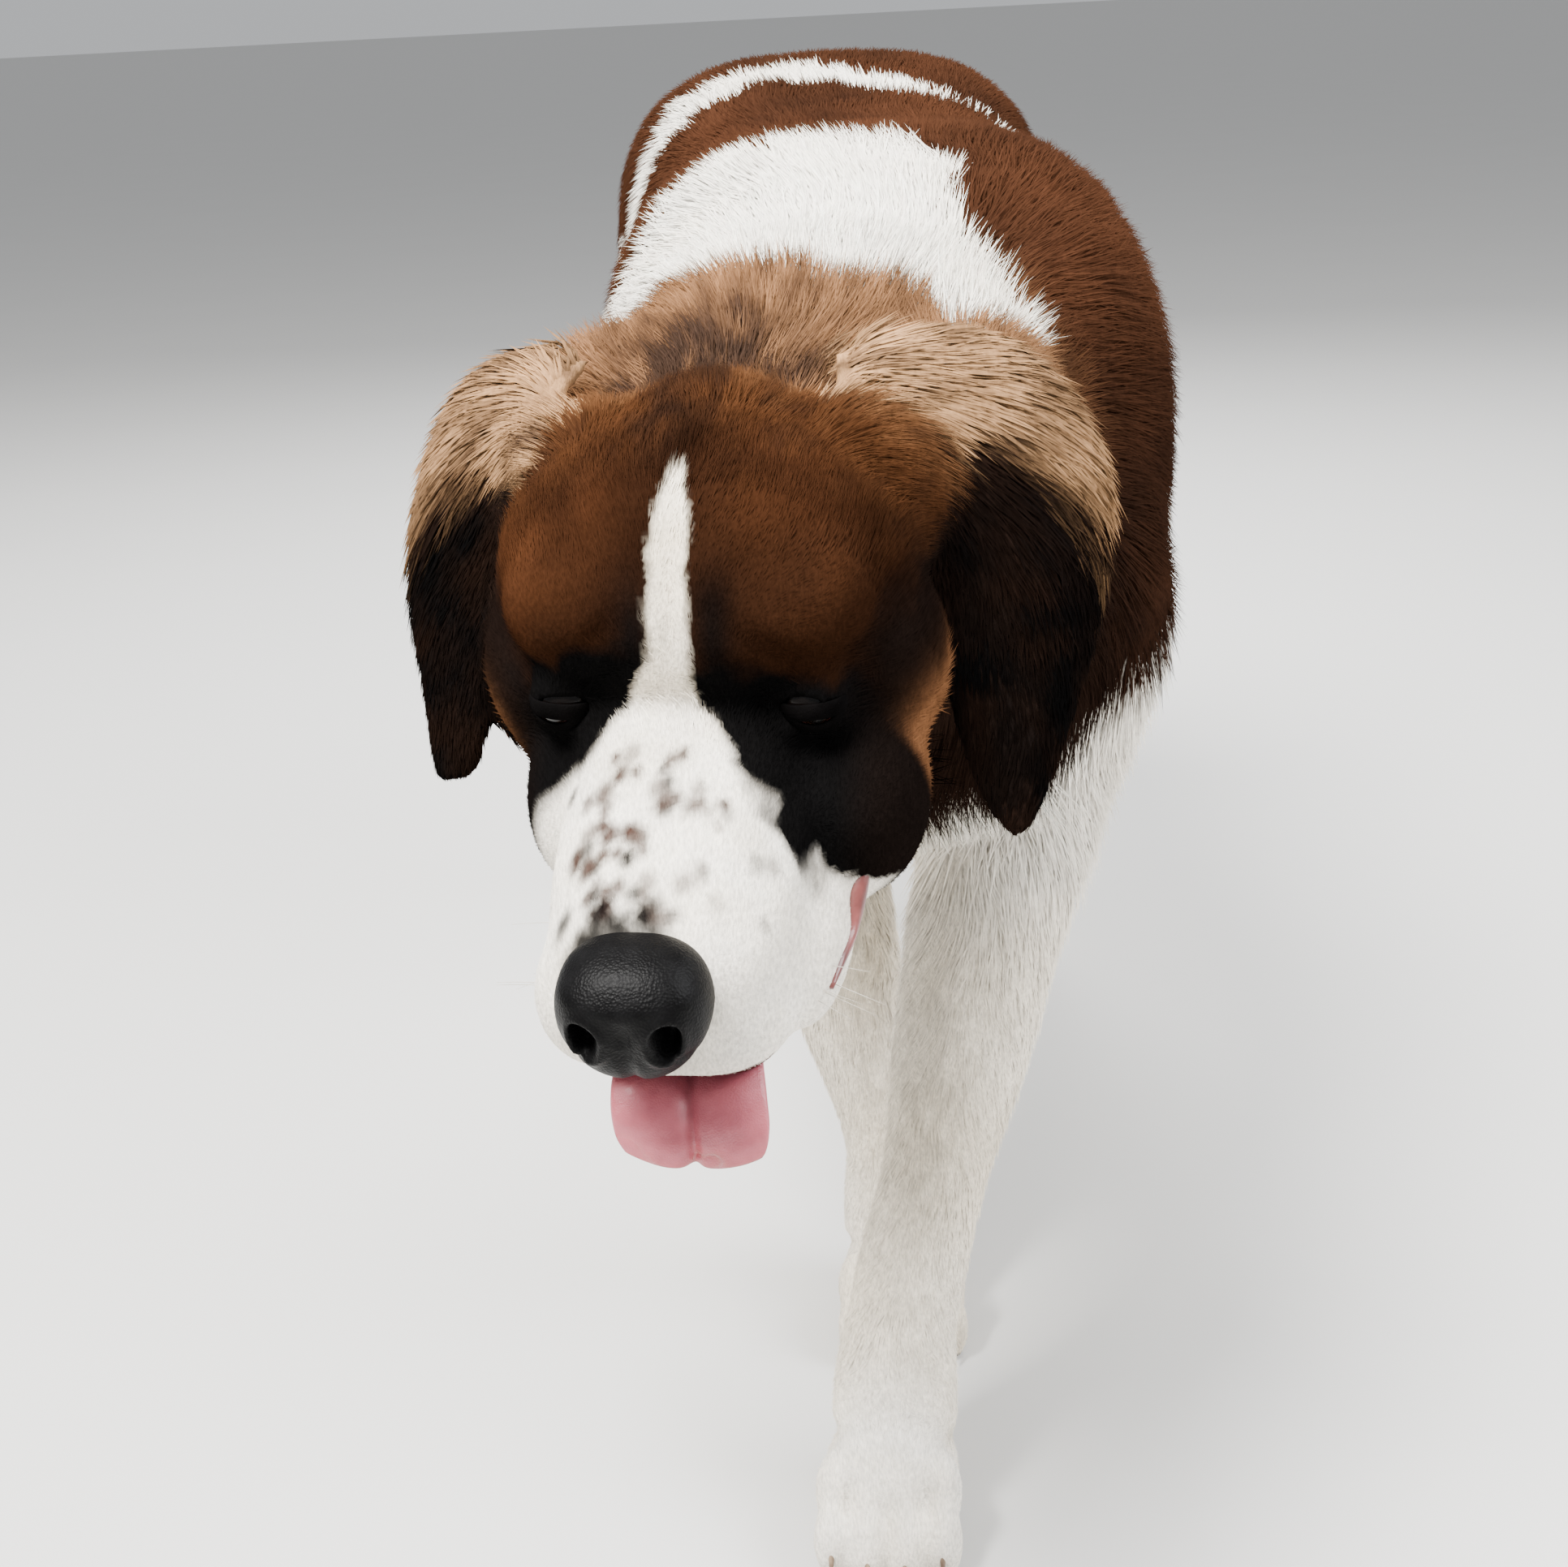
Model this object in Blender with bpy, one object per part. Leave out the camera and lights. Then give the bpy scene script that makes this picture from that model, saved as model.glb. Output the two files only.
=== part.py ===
"""Saint Bernard, life size, walking with its head lowered and turned to its right.

Metres, +Z up, nose towards -Y, the dog's left towards +X, soles on Z = 0.
The flesh and short coat are fused from named forms, then parted into nodes.
"""

import math
import random

import bmesh
import bpy
from mathutils import Matrix, Vector
from mathutils.bvhtree import BVHTree
from mathutils.kdtree import KDTree

# fit and fineness
GAP = 0.0003                # clearance between neighbouring nodes
TRIM_GAP = 0.0002           # clearance of a lock that crosses a neighbour
STEPS = 4                   # rings laid between two stations of a form
SIDES = 24                  # points round a form
TINY = 0.00002              # edges shorter than this are drawn together
FLAT = 0.000002             # a triangle narrower than this has no width
FLAT_ROUNDS = 3

# head frame: origin midway between the eyes, -Y along the muzzle, +Z crown
HEAD_AT = Vector((-0.1147, -0.529, 0.5527))
HEAD_PITCH = math.radians(21.5)
HEAD_ROLL = math.radians(0.3)
HEAD_YAW = math.radians(-10.0)
EYE_OUT = 0.0545
EYE_R = 0.0132
LID_R = 0.0172
NOSE_AT = Vector((-0.003, -0.142, -0.043))
NOSE_SIZE = Vector((0.0315, 0.0260, 0.0285))
NOSTRIL_OUT = 0.0135
NOSTRIL_AHEAD = 0.0235
FLEW_SWING = 0.008          # the loose lips swing towards the dog's left
JOWL_SWING = 0.010

# paws
PAW_HALF = 0.045            # half width of a forepaw
HIND_SCALE = 0.92
ANKLE_Z = 0.068             # level where a paw parts from its leg
SHANK_TOP = 0.300
THIGH_TOP = 0.500
TOE_SPREAD = (-1.5, -0.5, 0.5, 1.5)
TOE_PITCH = 0.0205
CLAW_LENGTH = 0.016
CLAW_R = 0.0046

RUMP_SWAY = 0.012
# trunk stations: y, z at the widest, half width, z of the back, z of the belly
TRUNK = (
    (-0.268, 0.490, 0.060, 0.560, 0.425),
    (-0.240, 0.500, 0.108, 0.620, 0.385),
    (-0.190, 0.515, 0.145, 0.680, 0.352),
    (-0.120, 0.535, 0.170, 0.725, 0.332),
    (-0.040, 0.550, 0.184, 0.762, 0.324),
    (0.050, 0.555, 0.188, 0.765, 0.326),
    (0.150, 0.565, 0.184, 0.760, 0.340),
    (0.250, 0.580, 0.175, 0.765, 0.368),
    (0.340, 0.605, 0.174, 0.780, 0.405),
    (0.430, 0.630, 0.182, 0.798, 0.440),
    (0.510, 0.635, 0.176, 0.795, 0.450),
    (0.575, 0.620, 0.148, 0.765, 0.470),
    (0.625, 0.600, 0.100, 0.715, 0.500),
    (0.648, 0.595, 0.045, 0.660, 0.545),
)

# neck stations: x, y, z, half width, half height
NECK = (
    (-0.102, -0.465, 0.556, 0.070, 0.095),
    (-0.093, -0.400, 0.558, 0.092, 0.118),
    (-0.077, -0.320, 0.563, 0.113, 0.134),
    (-0.050, -0.235, 0.572, 0.137, 0.144),
    (-0.022, -0.150, 0.590, 0.157, 0.150),
    (0.000, -0.060, 0.608, 0.168, 0.154),
)

# limb stations from the top joint down: x, y, z, half width, half depth
FORE_LEFT = (
    (0.104, -0.160, 0.520, 0.060, 0.080),
    (0.101, -0.130, 0.460, 0.061, 0.085),
    (0.084, -0.112, 0.405, 0.060, 0.078),
    (0.051, -0.168, 0.325, 0.054, 0.063),
    (0.021, -0.228, 0.236, 0.046, 0.050),
    (0.002, -0.261, 0.177, 0.037, 0.040),
    (-0.015, -0.287, 0.128, 0.038, 0.040),
    (-0.025, -0.307, 0.092, 0.038, 0.039),
    (-0.031, -0.328, 0.050, 0.041, 0.044),
)
FORE_RIGHT = (
    (-0.108, -0.110, 0.520, 0.060, 0.080),
    (-0.106, -0.080, 0.460, 0.064, 0.085),
    (-0.092, -0.058, 0.405, 0.061, 0.076),
    (-0.060, -0.068, 0.300, 0.053, 0.060),
    (-0.035, -0.080, 0.190, 0.041, 0.046),
    (-0.017, -0.086, 0.125, 0.038, 0.040),
    (-0.014, -0.093, 0.088, 0.038, 0.039),
    (-0.014, -0.106, 0.050, 0.041, 0.044),
)
HIND_LEFT = (
    (0.085, 0.475, 0.630, 0.082, 0.115),
    (0.105, 0.440, 0.540, 0.074, 0.130),
    (0.114, 0.405, 0.460, 0.063, 0.106),
    (0.116, 0.385, 0.395, 0.054, 0.078),
    (0.113, 0.425, 0.335, 0.049, 0.068),
    (0.107, 0.487, 0.275, 0.039, 0.050),
    (0.103, 0.535, 0.222, 0.033, 0.044),
    (0.100, 0.538, 0.160, 0.031, 0.035),
    (0.096, 0.532, 0.100, 0.033, 0.036),
    (0.092, 0.515, 0.050, 0.037, 0.042),
)
HIND_RIGHT = (
    (-0.085, 0.475, 0.630, 0.082, 0.115),
    (-0.105, 0.455, 0.540, 0.074, 0.130),
    (-0.112, 0.440, 0.460, 0.063, 0.106),
    (-0.114, 0.430, 0.395, 0.054, 0.078),
    (-0.110, 0.490, 0.335, 0.049, 0.068),
    (-0.104, 0.565, 0.285, 0.039, 0.050),
    (-0.099, 0.630, 0.235, 0.033, 0.044),
    (-0.096, 0.650, 0.170, 0.031, 0.035),
    (-0.093, 0.668, 0.105, 0.033, 0.036),
    (-0.090, 0.672, 0.050, 0.037, 0.042),
)
PAWS = {
    "forepaw_left": ((-0.034, -0.345), -6.0, 1.0, FORE_LEFT),
    "forepaw_right": ((-0.014, -0.126), -3.0, 1.0, FORE_RIGHT),
    "hindpaw_left": ((0.092, 0.492), 4.0, HIND_SCALE, HIND_LEFT),
    "hindpaw_right": ((-0.090, 0.650), -5.0, HIND_SCALE, HIND_RIGHT),
}

# tail stations from the root: x, y, z, half width, half depth
TAIL = (
    (-0.012, 0.585, 0.715, 0.034, 0.036),
    (-0.012, 0.640, 0.705, 0.038, 0.040),
    (-0.010, 0.690, 0.655, 0.042, 0.046),
    (-0.006, 0.715, 0.580, 0.046, 0.052),
    (0.000, 0.728, 0.490, 0.048, 0.056),
    (0.006, 0.735, 0.400, 0.046, 0.054),
    (0.012, 0.750, 0.320, 0.038, 0.044),
    (0.018, 0.775, 0.255, 0.024, 0.026),
    (0.023, 0.795, 0.218, 0.008, 0.009),
)

# muzzle stations in the head frame: y, z at the widest, half width, z top, z lip
MUZZLE = (
    (0.040, -0.040, 0.062, 0.016, -0.096),
    (0.000, -0.048, 0.061, 0.009, -0.102),
    (-0.040, -0.056, 0.059, 0.000, -0.108),
    (-0.080, -0.062, 0.057, -0.006, -0.112),
    (-0.110, -0.065, 0.052, -0.012, -0.110),
    (-0.129, -0.065, 0.044, -0.020, -0.102),
    (-0.140, -0.064, 0.030, -0.034, -0.090),
)
# mouth opening under the upper lips: y, half width, z of the palate
MOUTH = (
    (0.004, 0.034, -0.091),
    (-0.050, 0.036, -0.090),
    (-0.095, 0.035, -0.089),
    (-0.180, 0.033, -0.090),
)
MOUTH_FLOOR = -0.138
# lower jaw: x, y, z middle, half width, half height
JAW = (
    (0.005, 0.002, -0.122, 0.0315, 0.0225),
    (0.006, -0.040, -0.125, 0.0320, 0.0205),
    (0.006, -0.080, -0.125, 0.0300, 0.0175),
    (0.006, -0.106, -0.122, 0.0230, 0.0130),
    (0.006, -0.115, -0.120, 0.0120, 0.0080),
)
# tongue: x, y, z, half width, half thickness
TONGUE = (
    (0.004, -0.030, -0.0975, 0.0250, 0.0042),
    (0.005, -0.080, -0.0970, 0.0280, 0.0046),
    (0.008, -0.115, -0.0965, 0.0305, 0.0050),
    (0.011, -0.136, -0.0985, 0.0320, 0.0050),
    (0.013, -0.148, -0.1060, 0.0310, 0.0046),
    (0.014, -0.155, -0.1150, 0.0220, 0.0038),
)

# ears as flaps between a front edge and a rear edge, both ending at the tip
EARS = {
    "ear_left": {
        "front": ((-0.046, -0.440, 0.650), (-0.012, -0.455, 0.580), (0.018, -0.484, 0.462)),
        "rear": ((-0.036, -0.352, 0.672), (0.075, -0.345, 0.712), (0.142, -0.400, 0.590),
                 (0.052, -0.450, 0.520), (0.042, -0.482, 0.462)),
        "belly": 0.012,
        "outward": (0.30, -0.85, 0.40),
    },
    "ear_right": {
        "front": ((-0.184, -0.452, 0.642), (-0.200, -0.460, 0.575), (-0.212, -0.482, 0.500)),
        "rear": ((-0.158, -0.352, 0.672), (-0.232, -0.330, 0.700), (-0.270, -0.360, 0.600),
                 (-0.238, -0.430, 0.520), (-0.227, -0.458, 0.500)),
        "belly": -0.012,
        "outward": (-0.85, -0.35, 0.35),
    },
}
EAR_THICK = 0.0056
EAR_ROOT = ((0.054, 0.112, 0.026), (0.055, 0.066, 0.046))      # fullness an ear springs from

# long coat: flat tapered locks, root sunk into the core and tip standing off it
LOCK_RINGS = 3              # rings of three points before the tip
LOCK_SINK = 0.009
LOCK_THICK = 0.0075
THIN_LOCK = 0.005           # thickness of a lock on an ear or a forearm
NECK_CORE = 0.90            # the core under the ruff against the coat's full depth
TAIL_CORE = 0.62
RUFF_ROWS = 4
RUFF_COUNT = 7              # locks round one row of the ruff
RUFF_FRONT = -0.372         # y of its first row
RUFF_AXIS_Z = 0.570
RUFF_SIDES = ((0.088, -0.285, 0.622), (0.062, 0.078, 0.066))   # fullness beside the neck
RUFF_SWING = -0.062
WITHERS_ROWS = (-0.130, -0.045)
WITHERS_FAN = (24, 29.33)   # first ray and step in degrees, here and below
CHEST_ROWS = (0.466, 0.426, 0.386)
CHEST_Y = -0.12
CHEST_FAN = (-18, 36)
BELLY_STEP = 0.085
BELLY_COUNT = 4
BUTTOCK_ROWS = (0.650, 0.585)
BUTTOCK_Y = 0.50
BUTTOCK_FAN = (-46, 26.29)
BREECH_ROWS = (0.462, 0.407, 0.352)
BREECH_AT = (0.108, 0.46)
BREECH_FAN = (-30, 60)
TAIL_RINGS = 4
EAR_ROWS = (0.08, 0.28, 0.48)
# length, width and how far the tips stand off
LOCKS = {
    "ruff": (0.108, 0.084, 0.013),
    "withers": (0.112, 0.092, 0.006),
    "chest": (0.085, 0.088, 0.010),
    "belly": (0.095, 0.080, 0.014),
    "buttock": (0.095, 0.084, 0.008),
    "breech": (0.082, 0.058, 0.015),
    "forearm": (0.060, 0.036, 0.012),
    "tail": (0.130, 0.058, 0.020),
    "ear": (0.070, 0.042, 0.010),
}

COLOURS = {
    "white": (0.78, 0.72, 0.64),
    "red": (0.30, 0.12, 0.045),
    "dark": (0.035, 0.022, 0.016),
    "nose": (0.012, 0.011, 0.012),
    "eye": (0.045, 0.018, 0.008),
    "tongue": (0.62, 0.24, 0.25),
    "claw": (0.42, 0.36, 0.28),
}


def clear_scene():
    for item in list(bpy.data.objects):
        bpy.data.objects.remove(item, do_unlink=True)


def head_matrix():
    turn = (Matrix.Rotation(HEAD_YAW, 4, "Z") @ Matrix.Rotation(HEAD_ROLL, 4, "Y")
            @ Matrix.Rotation(HEAD_PITCH, 4, "X"))
    return Matrix.Translation(HEAD_AT) @ turn


HEAD = head_matrix()


def material(name, colour, roughness):
    made = bpy.data.materials.new(name)
    made.use_nodes = True
    shader = made.node_tree.nodes["Principled BSDF"]
    shader.inputs["Base Color"].default_value = (*colour, 1)
    shader.inputs["Roughness"].default_value = roughness
    made.diffuse_color = (*colour, 1)
    return made


def mesh_object(name, bm):
    bmesh.ops.recalc_face_normals(bm, faces=bm.faces)
    bmesh.ops.triangulate(bm, faces=bm.faces)
    mesh = bpy.data.meshes.new(name)
    bm.to_mesh(mesh)
    bm.free()
    made = bpy.data.objects.new(name, mesh)
    bpy.context.collection.objects.link(made)
    return made


def baked(obj):
    """Replace an object's mesh by what its modifiers make of it."""
    graph = bpy.context.evaluated_depsgraph_get()
    mesh = bpy.data.meshes.new_from_object(obj.evaluated_get(graph))
    obj.modifiers.clear()
    obj.data = mesh
    return obj


def spline(stations, steps):
    """Catmull-Rom through the stations, on every number of each."""
    points = [Vector(s) for s in stations]
    ends = [2 * points[0] - points[1]] + points + [2 * points[-1] - points[-2]]
    result = []
    for a, b, c, d in zip(ends, ends[1:], ends[2:], ends[3:]):
        for step in range(steps):
            t = step / steps
            result.append(0.5 * (2 * b + (c - a) * t + (2 * a - 5 * b + 4 * c - d) * t * t
                                 + (3 * b - a - 3 * c + d) * t ** 3))
    result.append(points[-1])
    return result


def signed_power(value, power):
    return math.copysign(abs(value) ** power, value)


def loft(name, rings):
    """Close a row of equal rings into one body, each end drawn to its centre."""
    bm = bmesh.new()
    rows = [[bm.verts.new(p) for p in ring] for ring in rings]
    for low, high in zip(rows, rows[1:]):
        for i in range(len(low)):
            j = (i + 1) % len(low)
            bm.faces.new((low[i], low[j], high[j], high[i]))
    for row in (rows[0], rows[-1]):
        bm.faces.new(row)
    return mesh_object(name, bm)


def ring(centre, side, up, half_width, rise, drop, square_top=2.0, square_low=2.0, sides=SIDES):
    points = []
    for i in range(sides):
        angle = math.tau * i / sides
        tall = math.sin(angle)
        power = 2 / (square_top if tall > 0 else square_low)
        across = half_width * signed_power(math.cos(angle), power)
        height = (rise if tall > 0 else drop) * signed_power(tall, power)
        points.append(centre + side * across + up * height)
    return points


def limb(name, stations, reference, square=2.0, place=Matrix(), sides=SIDES, steps=STEPS):
    """Tube along x, y, z, half width, half depth stations."""
    rows = spline(stations, steps)
    rings = []
    for i, row in enumerate(rows):
        before = rows[max(i - 1, 0)].xyz
        after = rows[min(i + 1, len(rows) - 1)].xyz
        along = (after - before).normalized()
        side = along.cross(reference).normalized()
        up = side.cross(along).normalized()
        points = ring(row.xyz, side, up, row[3], row[4], row[4], square, square, sides)
        rings.append([place @ p for p in points])
    return loft(name, rings)


def rump_sway(y):
    """How far the hindquarters swing to the dog's right."""
    t = min(max((y - 0.10) / 0.35, 0.0), 1.0)
    return -RUMP_SWAY * t * t * (3 - 2 * t)


def barrel(name, stations, square_top, square_low, place=Matrix(), sway=lambda y: 0.0):
    """Body along Y from y, z widest, half width, z top, z bottom stations."""
    rings = []
    for y, z, half, top, low in spline(stations, STEPS):
        points = ring(Vector((sway(y), y, z)), Vector((1, 0, 0)), Vector((0, 0, 1)),
                      half, top - z, z - low, square_top, square_low)
        rings.append([place @ p for p in points])
    return loft(name, rings)


def ball(name, centre, radii, place=Matrix(), around=20, along=12):
    bm = bmesh.new()
    shape = place @ Matrix.Translation(centre) @ Matrix.Diagonal((*radii, 1))
    bmesh.ops.create_uvsphere(bm, u_segments=around, v_segments=along, radius=1, matrix=shape)
    return mesh_object(name, bm)


def pair(name, centre, radii, place=Matrix(), swing=0.0):
    x, y, z = centre
    return [ball(name, (sign * x + swing, y, z), radii, place) for sign in (1, -1)]


def box(name, low, high, place=Matrix()):
    bm = bmesh.new()
    low, high = Vector(low), Vector(high)
    size = high - low
    shape = place @ Matrix.Translation((low + high) / 2) @ Matrix.Diagonal((*size, 1))
    bmesh.ops.create_cube(bm, size=1, matrix=shape)
    return mesh_object(name, bm)


def join(name, objects):
    bm = bmesh.new()
    for item in objects:
        bm.from_mesh(item.data)
        bpy.data.objects.remove(item, do_unlink=True)
    return mesh_object(name, bm)


def fused(name, forms, voxel, rounds, triangles):
    """One smooth closed skin over overlapping forms."""
    whole = join(name, forms)
    remesh = whole.modifiers.new("skin", "REMESH")
    remesh.mode = "VOXEL"
    remesh.voxel_size = voxel
    soften = whole.modifiers.new("soften", "SMOOTH")
    soften.factor = 0.5
    soften.iterations = rounds
    baked(whole)
    count = sum(len(p.vertices) - 2 for p in whole.data.polygons)
    thin = whole.modifiers.new("thin", "DECIMATE")
    thin.ratio = min(1.0, triangles / count)
    return baked(whole)


def boolean(obj, tool, operation, keep_tool=False, solver="EXACT"):
    cut = obj.modifiers.new("cut", "BOOLEAN")
    cut.operation = operation
    cut.solver = solver
    cut.object = tool
    baked(obj)
    if not keep_tool:
        bpy.data.objects.remove(tool, do_unlink=True)
    return obj


def copied(obj, name):
    made = bpy.data.objects.new(name, obj.data.copy())
    bpy.context.collection.objects.link(made)
    return made


def grown(obj, margin=GAP):
    """A copy swollen by the margin along its normals."""
    made = copied(obj, obj.name + "_grown")
    bm = bmesh.new()
    bm.from_mesh(made.data)
    bm.normal_update()
    moves = [(v, v.normal * margin * min(max(v.calc_shell_factor(), 1.0), 1.6)) for v in bm.verts]
    for vert, move in moves:
        vert.co += move
    bm.to_mesh(made.data)
    bm.free()
    return made


def carve(obj, *neighbours):
    """Cut an object clear of its finished neighbours."""
    for other in neighbours:
        boolean(obj, grown(other), "DIFFERENCE")
    return largest(obj)


def trim(obj, *neighbours):
    """The same for a node with locks, whose core already keeps its gap."""
    for other in neighbours:
        boolean(obj, copied(other, "whole"), "DIFFERENCE", solver="MANIFOLD")
        boolean(obj, grown(other, TRIM_GAP), "DIFFERENCE", solver="MANIFOLD")
    return largest(obj)


def third(face, edge):
    return next(vert for vert in face.verts if vert not in edge.verts)


def swap(bm, edge, faces):
    """Turn the diagonal between two triangles, unless the other diagonal is taken."""
    b, x = third(faces[0], edge), third(faces[1], edge)
    if b == x or bm.edges.get((b, x)):
        return
    a = next(loop.vert for loop in faces[0].loops if loop.link_loop_prev.vert == b)
    c = edge.other_vert(a)
    bmesh.ops.delete(bm, geom=faces, context="FACES_ONLY")
    bm.faces.new((a, x, b))
    bm.faces.new((x, c, b))
    if not edge.link_faces:
        bm.edges.remove(edge)


def in_triangles(bm):
    """Triangles with every edge between two faces, and none without width."""
    bmesh.ops.dissolve_verts(bm, verts=[v for v in bm.verts if len(v.link_edges) == 2])
    bmesh.ops.dissolve_degenerate(bm, dist=TINY / 10, edges=bm.edges)
    panel = bm.faces.layers.int.new("panel")
    for i, face in enumerate(bm.faces):
        face[panel] = i
    bmesh.ops.triangulate(bm, faces=bm.faces)
    for edge in [edge for edge in bm.edges if len(edge.link_faces) > 2]:
        panels = {}
        for face in edge.link_faces:
            panels.setdefault(face[panel], []).append(face)
        for faces in panels.values():
            if len(faces) == 2 and edge.is_valid:
                swap(bm, edge, faces)
    for _ in range(FLAT_ROUNDS):
        flat = []
        for face in bm.faces:
            edge = max(face.edges, key=lambda e: e.calc_length())
            if len(edge.link_faces) == 2 and 2 * face.calc_area() < FLAT * edge.calc_length():
                flat.append(edge)
        for edge in flat:
            if edge.is_valid and len(edge.link_faces) == 2:
                swap(bm, edge, list(edge.link_faces))
    bmesh.ops.delete(bm, geom=[e for e in bm.edges if not e.link_faces], context="EDGES")
    bmesh.ops.delete(bm, geom=[v for v in bm.verts if not v.link_faces], context="VERTS")
    return bm


def draw_apart(bm):
    """Sink corners that meet another corner of the same body without an edge between them."""
    bm.verts.ensure_lookup_table()
    bm.verts.index_update()
    bm.normal_update()
    tree = KDTree(len(bm.verts))
    for vert in bm.verts:
        tree.insert(vert.co, vert.index)
    tree.balance()
    for vert in bm.verts:
        for _, index, _ in tree.find_range(vert.co, TINY / 2):
            if index > vert.index:
                vert.co -= vert.normal * 3 * TINY
                break


def largest(obj):
    """Keep only the closed surface with the most volume."""
    bm = bmesh.new()
    bm.from_mesh(obj.data)
    bm = in_triangles(bm)
    seen, groups = set(), []
    for start in bm.faces:
        if start in seen:
            continue
        group, stack = [], [start]
        seen.add(start)
        while stack:
            face = stack.pop()
            group.append(face)
            for edge in face.edges:
                for near in edge.link_faces:
                    if near not in seen:
                        seen.add(near)
                        stack.append(near)
        groups.append(group)

    def volume(group):
        total = 0.0
        for face in group:
            a, b, c = (v.co for v in face.verts)
            total += a.dot(b.cross(c)) / 6
        return abs(total)
    groups.sort(key=volume)
    for group in groups[:-1]:
        bmesh.ops.delete(bm, geom=group, context="FACES")
    draw_apart(bm)
    bm.to_mesh(obj.data)
    bm.free()
    return obj


def lock(name, tree, root, lie, length, width, lift, free=0.0, thick=LOCK_THICK, bend=0.0):
    """One clump: follows the surface, or goes straight where free is 1, and tapers to a tip."""
    near, out = tree.find_nearest(root)[:2]
    start_out = out.copy()
    lie = (lie - out * lie.dot(out) * (1 - free)).normalized()
    spot = near.copy()
    bm = bmesh.new()
    rings = []
    for i in range(LOCK_RINGS + 1):
        t = i / LOCK_RINGS
        height = lift * (0.30 + 0.70 * t) - (LOCK_SINK + 0.30 * lift) * max(0.0, 1 - t / 0.30)
        centre = spot + out * height
        if i == LOCK_RINGS:
            tip = bm.verts.new(centre)
            break
        side = lie.cross(out).normalized() * width / 2 * (0.75 + 1.1 * t - 1.5 * t * t)
        ridge = out * thick * (1 - 0.45 * t)
        rings.append([bm.verts.new(p) for p in (centre - side, centre + side, centre + ridge)])
        lie = (Matrix.Rotation(bend / LOCK_RINGS, 3, out) @ lie).normalized()
        ahead = spot + lie * length / LOCK_RINGS
        near, found = tree.find_nearest(ahead)[:2]
        spot = near.lerp(ahead, free)
        out = found.lerp(start_out, free).normalized()
        lie = (lie - out * lie.dot(out) * (1 - free)).normalized()
    bm.faces.new(rings[0])
    for low, high in zip(rings, rings[1:]):
        for a in range(3):
            b = (a + 1) % 3
            bm.faces.new((low[a], low[b], high[b], high[a]))
    for a in range(3):
        bm.faces.new((rings[-1][a], rings[-1][(a + 1) % 3], tip))
    return mesh_object(name, bm)


def surface_tree(obj):
    bm = bmesh.new()
    bm.from_mesh(obj.data)
    tree = BVHTree.FromBMesh(bm)
    bm.free()
    return tree


def shot(tree, start, direction):
    """Where a ray from inside a form leaves it."""
    hit = tree.ray_cast(Vector(start), Vector(direction).normalized())
    return hit[0]


def sprouts(tree, rays, dice, lie, length, width, lift, **rest):
    """One lock per ray, each a little different."""
    made = []
    for start, direction in rays:
        root = shot(tree, start, direction)
        if root is None:
            continue
        made.append(lock("lock", tree, root, lie(root), length * dice.uniform(0.85, 1.15),
                         width * dice.uniform(0.88, 1.12), lift * dice.uniform(0.8, 1.3),
                         bend=dice.uniform(-0.5, 0.5), **rest))
    return made


def with_pieces(obj, pieces):
    """Fuse many pieces with their node in one union and keep its outer surface."""
    group = bpy.data.collections.new(obj.name + "_pieces")
    bpy.context.scene.collection.children.link(group)
    for item in pieces:
        bpy.context.collection.objects.unlink(item)
        group.objects.link(item)
    union = obj.modifiers.new("coat", "BOOLEAN")
    union.operation = "UNION"
    union.solver = "MANIFOLD"
    union.operand_type = "COLLECTION"
    union.collection = group
    baked(obj)
    for item in pieces:
        bpy.data.objects.remove(item, do_unlink=True)
    bpy.data.collections.remove(group)
    return largest(obj)


def fan(centre, start, step, count, offset):
    """Rays from one place, a number of degrees apart in the upright plane across the body."""
    rays = []
    for i in range(count):
        angle = math.radians(start + step * (i + offset))
        rays.append((centre, (math.cos(angle), 0.0, math.sin(angle))))
    return rays


def level_fan(centre, facing, start, step, count, offset):
    """The same on a level, about straight ahead (-1) or straight behind (1)."""
    rays = []
    for i in range(count):
        angle = math.radians(start + step * (i + offset))
        rays.append((centre, (math.sin(angle), facing * math.cos(angle), 0.0)))
    return rays


def neck_locks(tree):
    """The ruff: staggered rings that lie back along the neck and fall at its sides."""
    dice = random.Random(4)
    rays = []
    for row in range(RUFF_ROWS):
        back = row / (RUFF_ROWS - 1)
        for i in range(RUFF_COUNT):
            angle = math.tau * (i + 0.5 * (row % 2)) / RUFF_COUNT + dice.uniform(-0.08, 0.08)
            low = 0.5 - 0.5 * math.sin(angle)
            behind = back * (0.085 + 0.085 * low)
            start = (NECK[1][0] + 0.33 * behind, RUFF_FRONT + behind, RUFF_AXIS_Z)
            rays.append((start, (math.cos(angle), 0.10, math.sin(angle))))

    def lie(root):
        return Vector((0.20 * (root.x + 0.06), 1.0, -0.35 - 0.9 * (root.z < 0.52)))
    return sprouts(tree, rays, dice, lie, *LOCKS["ruff"])


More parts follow.
